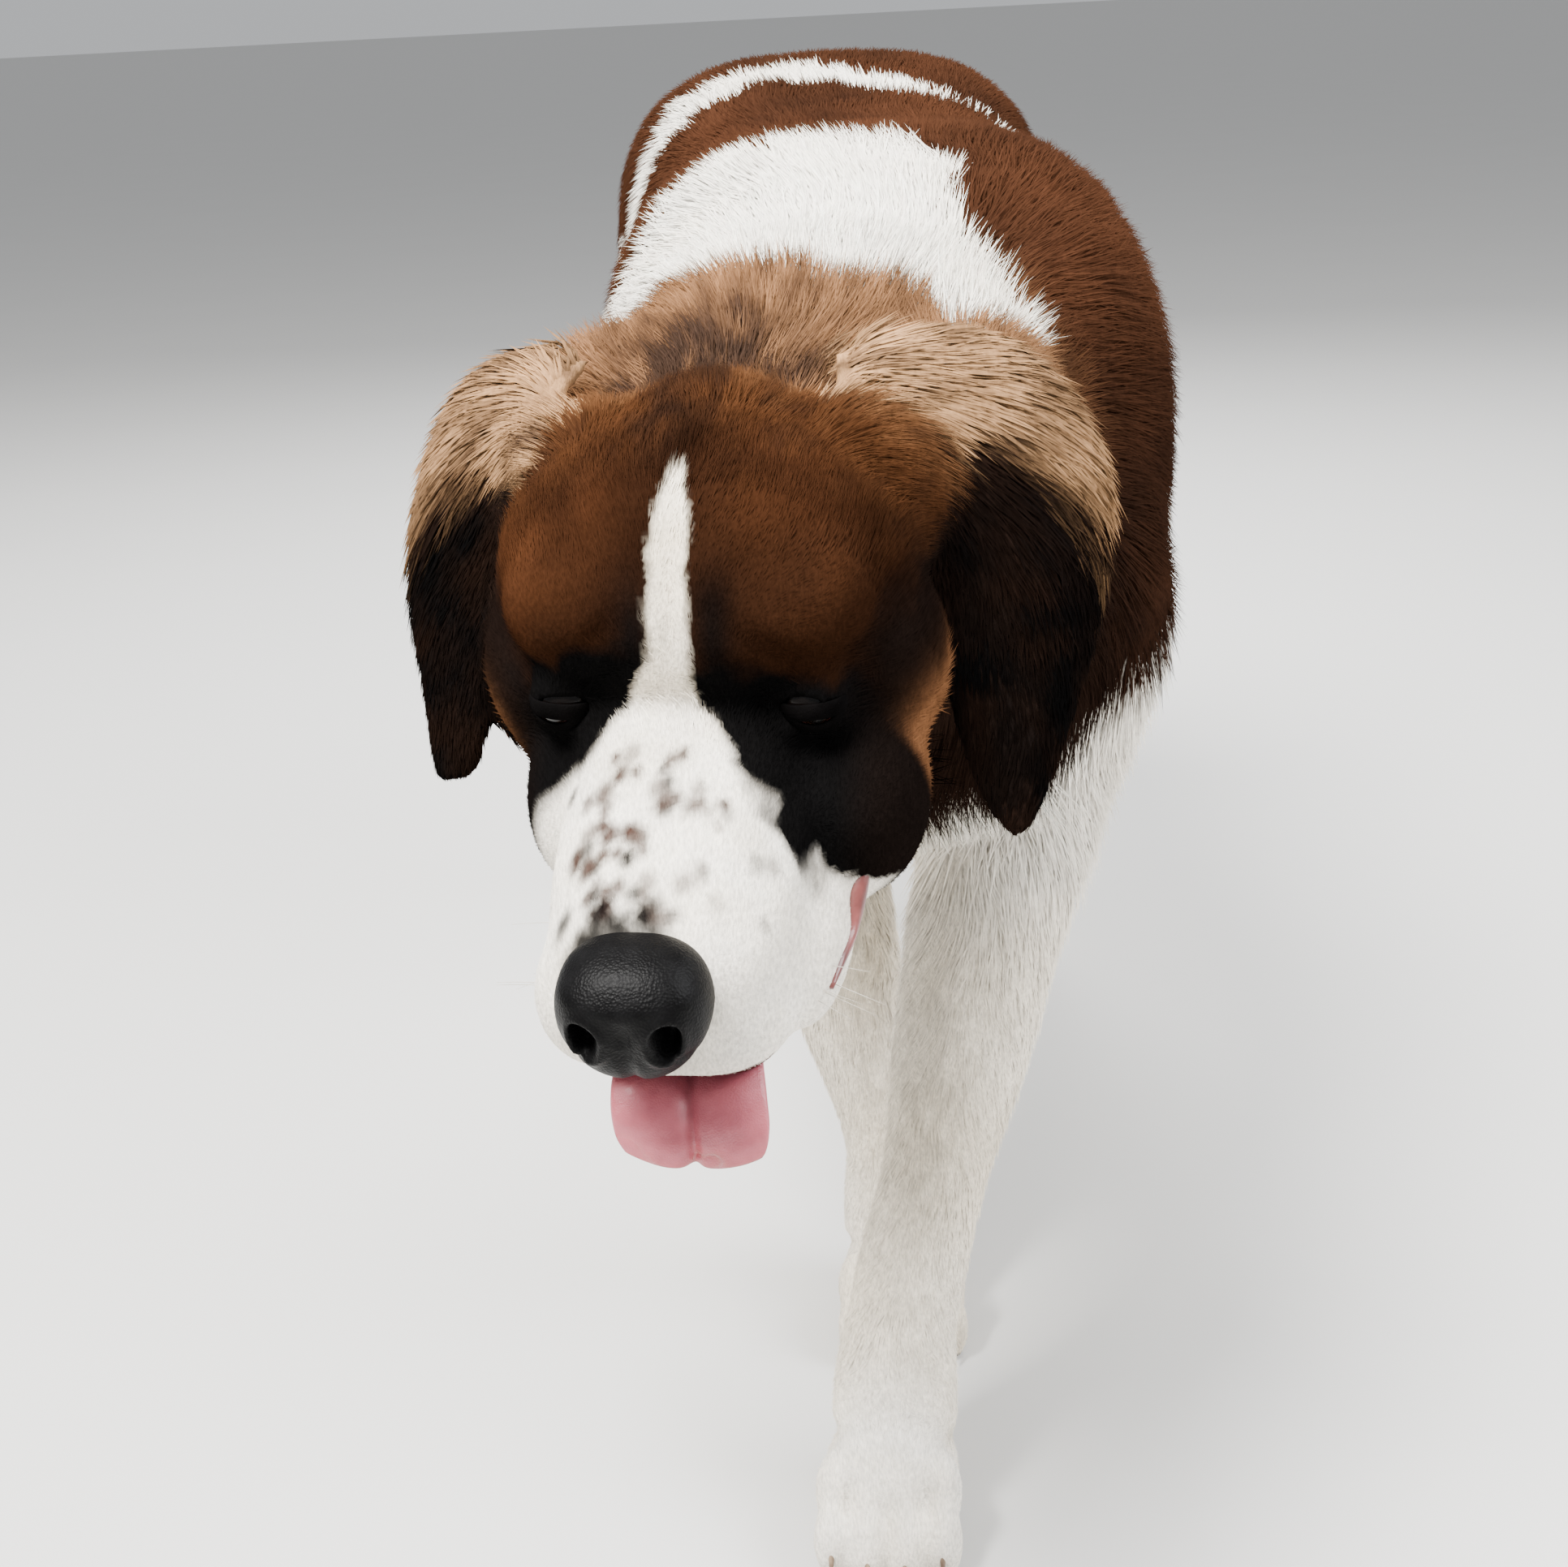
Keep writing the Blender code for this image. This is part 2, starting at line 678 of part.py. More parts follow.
def torso_locks(tree):
    """Withers, chest, belly and buttocks."""
    dice = random.Random(5)
    made = []
    for row, y in enumerate(WITHERS_ROWS):
        rays = fan((0, y, 0.58), *WITHERS_FAN, 5, 0.5 * row)
        made += sprouts(tree, rays, dice, lambda root: Vector((0.8 * root.x, 1.0, -0.15)),
                        *LOCKS["withers"])
    for row, z in enumerate(CHEST_ROWS):
        rays = level_fan((0, CHEST_Y, z), -1, *CHEST_FAN, 2 - row % 2, 0.5 * (row % 2))
        made += sprouts(tree, rays, dice, lambda root: Vector((0.4 * root.x, 0.15, -1.0)),
                        *LOCKS["chest"], free=0.2)
    rays = [((0.02 * (-1) ** i, BELLY_STEP * i, 0.50), (0.2 * (-1) ** i, 0.0, -1.0))
            for i in range(BELLY_COUNT)]
    made += sprouts(tree, rays, dice, lambda root: Vector((0, 1.0, -0.45)), *LOCKS["belly"], free=0.45)
    for row, z in enumerate(BUTTOCK_ROWS):
        rays = level_fan((0, BUTTOCK_Y, z), 1, *BUTTOCK_FAN, 4, 0.5 * row)
        made += sprouts(tree, rays, dice, lambda root: Vector((0.1 * root.x, 0.2, -1.0)),
                        *LOCKS["buttock"], free=0.15)
    return made


def thigh_locks(tree, side):
    """Breeches down the back of the thigh."""
    dice = random.Random(7 + side)
    rays = []
    for row, z in enumerate(BREECH_ROWS):
        x, y = BREECH_AT
        odd = row % 2
        rays += level_fan((side * x, y + 0.008 * row, z), 1, *BREECH_FAN, 2 + odd, -0.5 * odd)
    return sprouts(tree, rays, dice, lambda root: Vector((0, 0.40, -1.0)), *LOCKS["breech"], free=0.25)


def foreleg_locks(tree, stations):
    """A short fringe down the back of the forearm."""
    dice = random.Random(11)
    rays = []
    for i, row in enumerate(spline(stations[2:6], 2)[1:5]):
        rays.append((row.xyz, (0.35 * (-1) ** i, 1.0, 0.05)))
    return sprouts(tree, rays, dice, lambda root: Vector((0, 0.55, -1.0)), *LOCKS["forearm"],
                   free=0.6, thick=THIN_LOCK)


def tail_locks(tree, rows):
    """A bushy tail: rings of clumps that fall along it."""
    dice = random.Random(13)
    made = []
    for k in range(TAIL_RINGS):
        at = 1.4 + 1.45 * k
        low = int(at)
        row = rows[low].lerp(rows[min(low + 1, len(rows) - 1)], at - low)
        ahead = rows[min(low + 1, len(rows) - 1)].xyz - rows[low].xyz
        rays = []
        for i in range(4):
            angle = math.tau * (i + 0.5 * (k % 2)) / 4
            rays.append((row.xyz, (math.cos(angle), math.sin(angle), 0.15)))
        made += sprouts(tree, rays, dice, lambda root: ahead, *LOCKS["tail"], free=0.35)
    return made


def ear_locks(tree, spec):
    """Wavy hair over the outer face of an ear, from its base to past its rear edge."""
    dice = random.Random(17)
    made = []
    outward = Vector(spec["outward"]).normalized()
    for row, v in enumerate(EAR_ROWS):
        for column in range(3 - row % 2):
            u = 0.26 + 0.27 * column + 0.14 * (row % 2)
            front, rear = bezier(spec["front"], v), bezier(spec["rear"], v)
            spot = front.lerp(rear, u)
            down = bezier(spec["rear"], min(v + 0.25, 1)) - rear
            made += sprouts(tree, [(spot + outward * 0.05, -outward)], dice, lambda root: down,
                            *LOCKS["ear"], free=0.25, thick=THIN_LOCK)
    return made


def head_forms():
    swung = Matrix(((1, 0, -FLEW_SWING / 0.08, -0.0025), (0, 1, 0, 0), (0, 0, 1, 0), (0, 0, 0, 1)))
    forms = [
        ball("skull", (0, 0.070, 0.018), (0.099, 0.088, 0.075), HEAD),
        ball("occiput", (0, 0.120, 0.042), (0.052, 0.045, 0.046), HEAD),
        ball("throat", (0, 0.060, -0.075), (0.054, 0.075, 0.056), HEAD),
        barrel("muzzle", MUZZLE, 2.6, 2.8, HEAD @ swung),
    ]
    forms += pair("brow", (0.041, 0.027, 0.034), (0.046, 0.042, 0.034), HEAD)
    forms += pair("cheek", (0.066, 0.058, -0.022), (0.045, 0.055, 0.056), HEAD)
    forms += pair("cheekbone", (0.052, 0.032, -0.014), (0.032, 0.042, 0.030), HEAD)
    forms += pair("jowl", (0.058, 0.010, -0.060), (0.036, 0.055, 0.046), HEAD, JOWL_SWING)
    forms += pair("flew", (0.042, -0.050, -0.086), (0.024, 0.058, 0.036), HEAD, FLEW_SWING)
    forms += pair("ear_root", *EAR_ROOT, HEAD)
    forms += pair("lid", (EYE_OUT, 0.001, 0), (LID_R, LID_R, LID_R), HEAD)
    forms.append(limb("neck", neck_core(), Vector((0, 0, 1)), 2.2))
    return forms


def neck_core():
    """The neck without the outer part of its ruff, widening into the shoulders."""
    last = len(NECK) - 1
    rows = []
    for i, (x, y, z, half, tall) in enumerate(NECK):
        share = NECK_CORE + (1 - NECK_CORE) * (i / last) ** 2
        rows.append((x, y, z, half * share, tall * share))
    return rows


def trunk_forms():
    forms = [
        barrel("trunk", TRUNK, 2.9, 2.3, sway=rump_sway),
        limb("neck", neck_core(), Vector((0, 0, 1)), 2.2),
        ball("skull", (0, 0.070, 0.008), (0.096, 0.088, 0.085), HEAD),
    ]
    forms += pair("ear_root", *EAR_ROOT, HEAD)
    forms += pair("ruff", *RUFF_SIDES, swing=RUFF_SWING)
    forms += pair("shoulder", (0.112, -0.085, 0.590), (0.066, 0.105, 0.125))
    for limb_stations in (FORE_LEFT, FORE_RIGHT, HIND_LEFT, HIND_RIGHT):
        forms.append(limb("leg", limb_stations, Vector((0, -1, 0)), 2.1))
    return forms


def paw_place(name):
    (x, y), turn, scale, _ = PAWS[name]
    return (Matrix.Translation((x, y, 0)) @ Matrix.Rotation(math.radians(turn), 4, "Z")
            @ Matrix.Scale(scale, 4))


def toe_points(spread):
    """Sideways place, and how far forward the knuckle and the tip lie."""
    across = spread * TOE_PITCH
    inner = 1 - abs(spread) / 2.6
    return across, -0.022 - 0.014 * inner, -0.040 - 0.020 * inner


def paw_forms(name):
    place = paw_place(name)
    stations = PAWS[name][3]
    forms = [
        ball("pad", (0, 0.006, 0.026), (PAW_HALF * 0.92, 0.046, 0.036), place),
        ball("back", (0, -0.012, 0.044), (PAW_HALF * 0.78, 0.040, 0.028), place),
        limb("leg", stations[-5:], Vector((0, -1, 0)), 2.1),
    ]
    for spread in TOE_SPREAD:
        across, knuckle, tip = toe_points(spread)
        forms.append(ball("toe", (across, knuckle, 0.036), (0.0125, 0.022, 0.023), place))
        forms.append(ball("toe", (across, tip, 0.018), (0.0128, 0.019, 0.024), place))
    return forms


def claw(name, place, spread):
    across, _, tip = toe_points(spread)
    stations = []
    for i in range(3):
        t = i / 2
        y = tip - 0.006 - (CLAW_LENGTH + 0.004) * t
        z = 0.0225 - 0.002 * t - 0.010 * t * t
        radius = CLAW_R * (1 - 0.72 * t)
        stations.append((across, y, z, radius * 0.75, radius))
    points = []
    for x, y, z, half, tall in stations:
        centre = Vector((x, y, z))
        row = []
        for i in range(6):
            angle = math.tau * i / 6
            row.append(place @ (centre + Vector((half * math.cos(angle), 0, tall * math.sin(angle)))))
        points.append(row)
    return loft(name, points)


def bezier(points, t):
    points = [Vector(p) for p in points]
    while len(points) > 1:
        points = [a.lerp(b, t) for a, b in zip(points, points[1:])]
    return points[0]


def ear_flap(name, spec, rows=8, columns=6):
    """A leathery flap with its own thickness, bellied out and thin at its rim."""
    grid = []
    for i in range(rows):
        v = i / (rows - 1) * 0.985
        front, rear = bezier(spec["front"], v), bezier(spec["rear"], v)
        grid.append([front.lerp(rear, j / (columns - 1)) for j in range(columns)])
    bm = bmesh.new()
    sheets = []
    for side in (1, -1):
        sheet = []
        for i, row in enumerate(grid):
            line = []
            for j, point in enumerate(row):
                down = grid[min(i + 1, rows - 1)][j] - grid[max(i - 1, 0)][j]
                over = row[min(j + 1, columns - 1)] - row[max(j - 1, 0)]
                normal = down.cross(over).normalized()
                u, v = j / (columns - 1), i / (rows - 1)
                rim = math.sin(math.pi * (0.06 + 0.88 * u)) ** 0.5 * (1 - 0.55 * v ** 3)
                bulge = spec["belly"] * math.sin(math.pi * u) * (0.4 + 0.6 * v)
                line.append(bm.verts.new(point + normal * (bulge + side * EAR_THICK * rim)))
            sheet.append(line)
        sheets.append(sheet)
    top, low = sheets
    for i in range(rows - 1):
        for j in range(columns - 1):
            bm.faces.new((top[i][j], top[i][j + 1], top[i + 1][j + 1], top[i + 1][j]))
            bm.faces.new((low[i][j], low[i + 1][j], low[i + 1][j + 1], low[i][j + 1]))
    rim = [(0, j) for j in range(columns)] + [(i, columns - 1) for i in range(1, rows)]
    rim += [(rows - 1, j) for j in range(columns - 2, -1, -1)] + [(i, 0) for i in range(rows - 2, 0, -1)]
    for (a, b), (c, d) in zip(rim, rim[1:] + rim[:1]):
        bm.faces.new((top[a][b], low[a][b], low[c][d], top[c][d]))
    return mesh_object(name, bm)


def almond(side):
    """The opening between the lids, longer than high, drawn to two corners."""
    place = HEAD @ Matrix.Translation((side * EYE_OUT, -0.012, -0.0005))
    place = place @ Matrix.Rotation(side * math.radians(16), 4, "Z")
    place = place @ Matrix.Rotation(side * math.radians(8), 4, "Y")
    bm = bmesh.new()
    rows = []
    for depth, size in ((-0.014, 1.15), (0.000, 1.0), (0.012, 0.85)):
        row = []
        for i in range(16):
            angle = math.tau * i / 16
            x = 0.0130 * size * math.cos(angle)
            z = 0.0078 * size * math.sin(angle) * (1 - 0.35 * math.cos(angle) ** 2)
            row.append(bm.verts.new(place @ Vector((x, depth, z))))
        rows.append(row)
    for low, high in zip(rows, rows[1:]):
        for i in range(16):
            bm.faces.new((low[i], low[(i + 1) % 16], high[(i + 1) % 16], high[i]))
    bm.faces.new(rows[0])
    bm.faces.new(rows[-1])
    return mesh_object("almond", bm)


def mouth_space():
    rings = []
    for y, half, roof in spline(MOUTH, 2):
        centre = Vector((FLEW_SWING, y, MOUTH_FLOOR))
        points = ring(centre, Vector((1, 0, 0)), Vector((0, 0, 1)), half, roof - MOUTH_FLOOR, 0.05,
                      3.2, 3.2, 16)
        rings.append([HEAD @ p for p in points])
    return loft("mouth_space", rings)


def mouth_piece(name, stations, square):
    return limb(name, stations, Vector((0, 0, 1)), square, HEAD, 12, 2)


def make_head():
    head = fused("head", head_forms(), 0.0042, 9, 1850)
    behind = Matrix.Translation((-0.088, -0.388, 0.600))
    behind = behind @ Vector((0.26, 0.95, 0.10)).to_track_quat("Y", "Z").to_matrix().to_4x4()
    boolean(head, box("cut", (-0.4, 0, -0.4), (0.4, 0.5, 0.4), behind), "DIFFERENCE")
    boolean(head, mouth_space(), "DIFFERENCE")
    eyes = []
    for name, side in (("eye_left", 1), ("eye_right", -1)):
        eye = ball(name, (side * EYE_OUT, 0.001, 0), (EYE_R,) * 3, HEAD, 12, 7)
        boolean(head, almond(side), "DIFFERENCE")
        boolean(head, grown(eye), "DIFFERENCE")
        eyes.append(eye)
    nose = ball("nose", NOSE_AT, NOSE_SIZE, HEAD, 14, 8)
    boolean(head, grown(nose), "DIFFERENCE")
    for side in (1, -1):
        at = NOSE_AT + Vector((side * NOSTRIL_OUT, -NOSTRIL_AHEAD, 0))
        boolean(nose, ball("nostril", at, (0.0062, 0.0095, 0.0068), HEAD, 8, 6), "DIFFERENCE")
    largest(head)
    largest(nose)
    tongue = carve(mouth_piece("tongue", TONGUE, 2.4), head, nose)
    jaw = carve(mouth_piece("lower_jaw", JAW, 2.3), head, tongue)
    return [head, nose, tongue, jaw, *eyes], behind


def make_trunk(behind):
    whole = fused("whole", trunk_forms(), 0.009, 8, 3400)
    tree = surface_tree(whole)
    boolean(whole, box("cut", (-0.4, -0.5, -0.4), (0.4, GAP, 0.4), behind), "DIFFERENCE")
    floor = box("cut", (-1, -1, -0.2), (1, 1, ANKLE_Z + GAP))
    boolean(whole, floor, "DIFFERENCE")
    regions = leg_regions()
    regions["neck"] = neck_region()
    nodes = []
    for name, (place, low, high) in regions.items():
        piece = copied(whole, name)
        boolean(piece, box("keep", low, high, place), "INTERSECT")
        nodes.append(largest(piece))
        grow = Vector((GAP, GAP, GAP))
        boolean(whole, box("cut", Vector(low) - grow, Vector(high) + grow, place), "DIFFERENCE")
    whole.name = "torso"
    nodes.append(largest(whole))
    return {node.name: node for node in nodes}, tree


def dress(nodes, tree, head):
    """Give the nodes of long coat their locks, each cut clear of the one before it."""
    torso, neck = nodes["torso"], nodes["neck"]
    with_pieces(torso, torso_locks(tree))
    with_pieces(neck, neck_locks(tree))
    trim(neck, head, torso)
    near = [torso, neck]
    for name, stations in (("right", FORE_RIGHT), ("left", FORE_LEFT)):
        leg = nodes["foreleg_" + name]
        with_pieces(leg, foreleg_locks(surface_tree(leg), stations))
        near.append(trim(leg, *near))
    for name, side in (("left", 1), ("right", -1)):
        thigh = nodes["thigh_" + name]
        with_pieces(thigh, thigh_locks(tree, side))
        trim(thigh, torso, nodes["shank_" + name])
    return nodes


def leg_regions():
    """Boxes along each limb, one end on the joint where the limb leaves the trunk."""
    regions = {}
    for name, stations, top, reach in (("foreleg_left", FORE_LEFT, 2, 0.115),
                                       ("foreleg_right", FORE_RIGHT, 2, 0.100)):
        start, end = Vector(stations[top][:3]), Vector(stations[-1][:3])
        turn = (end - start).to_track_quat("-Z", "Y").to_matrix().to_4x4()
        regions[name] = (Matrix.Translation(start) @ turn, (-reach, -reach, -0.6), (reach, reach, -0.035))
    for name, side in (("left", 1), ("right", -1)):
        inner, outer = sorted((side * 0.022, side * 0.26))
        regions["shank_" + name] = (Matrix(), (inner, 0.27, 0.0), (outer, 0.80, SHANK_TOP))
        regions["thigh_" + name] = (Matrix(), (inner, 0.27, SHANK_TOP + GAP), (outer, 0.80, THIGH_TOP))
    return regions


def neck_region():
    place = Matrix.Translation((-0.030, -0.205, 0.600))
    place = place @ Vector((0.22, 0.92, 0.32)).to_track_quat("Y", "Z").to_matrix().to_4x4()
    return place, (-0.4, -0.5, -0.180), (0.4, 0.0, 0.4)


def make_paws():
    nodes = []
    for name in PAWS:
        paw = fused(name, paw_forms(name), 0.0036, 5, 260)
        boolean(paw, box("keep", (-1, -1, 0), (1, 1, ANKLE_Z)), "INTERSECT")
        claws = [claw("claw", paw_place(name), spread) for spread in TOE_SPREAD]
        nodes.append(with_pieces(largest(paw), claws))
    return nodes


def paint(nodes):
    looks = {key: material(key, colour, 0.75 if key in ("white", "red", "dark") else 0.35)
             for key, colour in COLOURS.items()}
    for node in nodes:
        key = node.name.split("_")[0]
        kind = {"head": "red", "ear": "dark", "neck": "white", "torso": "red", "nose": "nose",
                "eye": "eye", "tongue": "tongue", "claw": "claw", "tail": "red"}.get(key, "white")
        node.data.materials.clear()
        node.data.materials.append(looks[kind])
        node.data.shade_smooth()
        node.data.set_sharp_from_angle(angle=math.radians(60))


def settle(nodes):
    """Move everything so that the origin lies on the floor under the middle."""
    corners = [v.co for node in nodes for v in node.data.vertices]
    middle = [(min(c[i] for c in corners) + max(c[i] for c in corners)) / 2 for i in (0, 1)]
    shift = Matrix.Translation((-middle[0], -middle[1], 0))
    for node in nodes:
        node.data.transform(shift)


def make_tail(torso, thighs):
    core = [(x, y, z, deep * TAIL_CORE, half * TAIL_CORE) for x, y, z, half, deep in TAIL]
    tail = limb("tail", core, Vector((1, 0, 0)), 2.0, Matrix(), 8, 2)
    with_pieces(tail, tail_locks(surface_tree(tail), [Vector(row) for row in TAIL]))
    return trim(tail, torso, *thighs)


def make_ears(head, neck):
    nodes = []
    for name, spec in EARS.items():
        ear = ear_flap(name, spec)
        with_pieces(ear, ear_locks(surface_tree(ear), spec))
        nodes.append(trim(ear, head, neck))
    return nodes


def main():
    clear_scene()
    head_nodes, behind = make_head()
    head = head_nodes[0]
    trunk, tree = make_trunk(behind)
    dress(trunk, tree, head)
    nodes = head_nodes + list(trunk.values()) + make_paws()
    nodes.append(make_tail(trunk["torso"], (trunk["thigh_left"], trunk["thigh_right"])))
    nodes += make_ears(head, trunk["neck"])
    paint(nodes)
    settle(nodes)
    total = 0
    for node in nodes:
        count = len(node.data.polygons)
        total += count
        print(node.name, count)
    print("triangles", total)


main()
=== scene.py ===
import math

import bmesh
import bpy
import numpy as np
from mathutils import Matrix, Vector
from mathutils.bvhtree import BVHTree
from mathutils.kdtree import KDTree


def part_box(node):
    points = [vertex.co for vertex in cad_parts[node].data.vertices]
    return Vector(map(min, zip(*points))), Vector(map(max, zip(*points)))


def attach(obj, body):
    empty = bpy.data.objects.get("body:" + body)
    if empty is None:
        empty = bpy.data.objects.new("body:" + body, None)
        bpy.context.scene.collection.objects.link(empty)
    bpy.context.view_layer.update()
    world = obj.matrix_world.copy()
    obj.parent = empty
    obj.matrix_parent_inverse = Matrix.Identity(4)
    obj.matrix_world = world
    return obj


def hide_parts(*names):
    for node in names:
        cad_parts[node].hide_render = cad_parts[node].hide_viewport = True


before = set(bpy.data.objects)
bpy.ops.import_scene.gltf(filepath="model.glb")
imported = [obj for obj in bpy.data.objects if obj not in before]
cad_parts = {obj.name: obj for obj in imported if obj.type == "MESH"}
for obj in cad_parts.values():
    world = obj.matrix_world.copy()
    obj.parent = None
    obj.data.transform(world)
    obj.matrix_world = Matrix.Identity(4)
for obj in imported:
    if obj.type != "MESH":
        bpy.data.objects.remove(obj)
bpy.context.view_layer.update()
print("frame loaded")

fleshNodes = [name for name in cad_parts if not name.startswith(("eye", "nose", "tongue"))]

# where the head sits: its own axes have the origin between the eyes, -Y along the muzzle, +Z to the crown

headPose = {
    "at": (-0.1147, -0.529, 0.5527),
    "yaw": -10.0,
    "roll": 0.3,
    "pitch": 21.5,
    "eyeOut": 0.0545,
    "eyeForward": 0.001,
}


def nodeCentre(name):
    low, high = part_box(name)
    return (low + high) / 2


def turned(degrees, axis):
    return Matrix.Rotation(math.radians(degrees), 4, axis)


headTurn = turned(headPose["yaw"], "Z") @ turned(headPose["roll"], "Y") @ turned(headPose["pitch"], "X")
headDesign = Matrix.Translation(headPose["at"]) @ headTurn
betweenEyes = (nodeCentre("eye_left") + nodeCentre("eye_right")) / 2
shift = betweenEyes - headDesign @ Vector((0, headPose["eyeForward"], 0))
place = Matrix.Translation(shift)  # from the dog's own layout to the frame
head = place @ headDesign
print("head placed, layout moved by", [round(c, 4) for c in shift])

# camera, lights and floor

cameraView = {
    "at": (-0.075, -1.5, 0.84),
    "down": 18.68,  # degrees below the horizon
    "roll": -3.0,
    "lens": 54.04,  # millimetres on a 36 mm sensor
}


def addObject(name, data):
    made = bpy.data.objects.new(name, data)
    bpy.context.scene.collection.objects.link(made)
    return made


def makeCamera():
    data = bpy.data.cameras.new("viewCamera")
    data.lens, data.sensor_width, data.clip_start = cameraView["lens"], 36, 0.05
    made = addObject("viewCamera", data)
    made.matrix_world = (place @ Matrix.Translation(cameraView["at"]) @ turned(90 - cameraView["down"], "X")
                         @ turned(cameraView["roll"], "Z"))
    bpy.context.scene.camera = made


makeCamera()

studio = {
    "floor": (0.62, 0.615, 0.6),
    "sky": 0.56,
    "lamps": (  # place, size, watts, tint
        ((-1.1, -1.5, 3.1), 1.5, 470, (1.0, 0.985, 0.96)),
        ((2.1, -0.7, 2.0), 1.8, 120, (0.97, 0.98, 1.0)),
        ((0.2, 2.4, 2.5), 2.0, 150, (1.0, 1.0, 1.0)),
    ),
}


def addLamp(number, spot, size, power, tint):
    data = bpy.data.lights.new("softbox%d" % number, "AREA")
    data.shape, data.size, data.energy, data.color = "DISK", size, power, tint
    made = addObject("softbox%d" % number, data)
    made.location = spot
    made.rotation_euler = (Vector((0, 0, 0.4)) - Vector(spot)).to_track_quat("-Z", "Y").to_euler()


for number, lamp in enumerate(studio["lamps"]):
    addLamp(number, *lamp)

world = bpy.data.worlds.new("studioSky")
world.use_nodes = True
sky = world.node_tree.nodes["Background"].inputs
sky["Color"].default_value = (0.95, 0.97, 1.0, 1)
sky["Strength"].default_value = studio["sky"]
bpy.context.scene.world = world


def feed(tree, node, inputs):  # a socket is linked and a value is set
    for key, value in inputs.items():
        if isinstance(value, bpy.types.NodeSocket):
            tree.links.new(value, node.inputs[key])
        else:
            node.inputs[key].default_value = value


def addNode(tree, kind, output="", inputs=None, **settings):  # gives the output named, or else the node
    node = tree.nodes.new(kind if kind.startswith("Node") else "ShaderNode" + kind)
    for key, value in settings.items():
        setattr(node, key, value)
    feed(tree, node, inputs or {})
    return node.outputs[output] if output else node


def addRamp(tree, value, deep, pale, start=0.0, end=1.0):
    ramp = addNode(tree, "ValToRGB", "", {"Fac": value})
    for element, position, tone in zip(ramp.color_ramp.elements, (start, end), (deep, pale)):
        element.position, element.color = position, (*tone, 1)
    return ramp.outputs["Color"]


def newMaterial(name, sockets):
    made = bpy.data.materials.new(name)
    made.use_nodes = True
    shader = made.node_tree.nodes["Principled BSDF"]
    feed(made.node_tree, shader, sockets)
    return made, made.node_tree, shader


def floorMaterial():
    made, tree, shader = newMaterial("studioFloor", {"Roughness": 0.8})
    noise = addNode(tree, "TexNoise", "Fac", {"Vector": addNode(tree, "TexCoord", "Object"), "Scale": 3.0})
    tone = studio["floor"]
    feed(tree, shader, {"Base Color": addRamp(tree, noise, [c * 0.97 for c in tone], tone)})
    return made


def finishMesh(name, bm, outward=True):
    if outward:
        bmesh.ops.recalc_face_normals(bm, faces=bm.faces)
    mesh = bpy.data.meshes.new(name)
    bm.to_mesh(mesh)
    bm.free()
    mesh.shade_smooth()
    return addObject(name, mesh)


def makeFloor():
    bm = bmesh.new()
    bmesh.ops.create_grid(bm, x_segments=4, y_segments=4, size=70)
    made = finishMesh("floor", bm, False)
    made.data.materials.append(floorMaterial())


makeFloor()
print("camera, lights and floor set")

# small sums shared by the pieces


def ease(low, high, value):  # smooth step, also on arrays
    t = np.clip((value - low) / (high - low), 0, 1)
    return t * t * (3 - 2 * t)


def blend(a, b, share):  # colours or vectors by a share for each point
    share = np.clip(share, 0, 1)[:, None]
    return a * (1 - share) + b * share


def hill(x, middle, width, z=0.0, level=0.0, tall=1.0):  # 1 at a place, less and less round it
    return np.exp(-((x - middle) / width) ** 2 - ((z - level) / tall) ** 2)


def columns(*parts):
    return np.column_stack(np.broadcast_arrays(*parts))


def readRows(items, name, width, kind=float):  # one attribute of a mesh's items, a row for each
    rows = np.empty(len(items) * width, dtype=kind)
    items.foreach_get(name, rows)
    return rows.reshape(-1, width)


def lumps(points, size, seed):  # smooth noise from 0 to 1, alike on every run
    cell = np.floor(points / size).astype(np.int64)
    part = points / size - cell
    part = part * part * (3 - 2 * part)
    total = np.zeros(len(points))
    for corner in range(8):
        step = np.array([(corner >> k) & 1 for k in range(3)])
        at = cell + step
        mixed = (at[:, 0] * 73856093) ^ (at[:, 1] * 19349663) ^ (at[:, 2] * 83492791) ^ (seed * 26544357)
        mixed = (mixed ^ (mixed >> 13)) * 1103515245 + 12345
        value = ((mixed >> 7) % 65521) / 65521
        total += value * np.prod(np.where(step == 1, part, 1 - part), axis=1)
    return total


def toArray(matrix):
    return np.array([list(row) for row in matrix])


headBack = toArray(headDesign.inverted())
headOut = toArray(headDesign)[:3, :3]
shiftRow = np.array(shift)


def inLayout(points):  # frame to the dog's own layout
    return points - shiftRow


def inHead(layout):  # layout to the head's own axes
    return layout @ headBack[:3, :3].T + headBack[:3, 3]


def unit(rows):
    return rows / np.maximum(np.linalg.norm(rows, axis=1), 1e-9)[:, None]


# flesh: the dog's forms, each drawn in by the depth of the coat over it

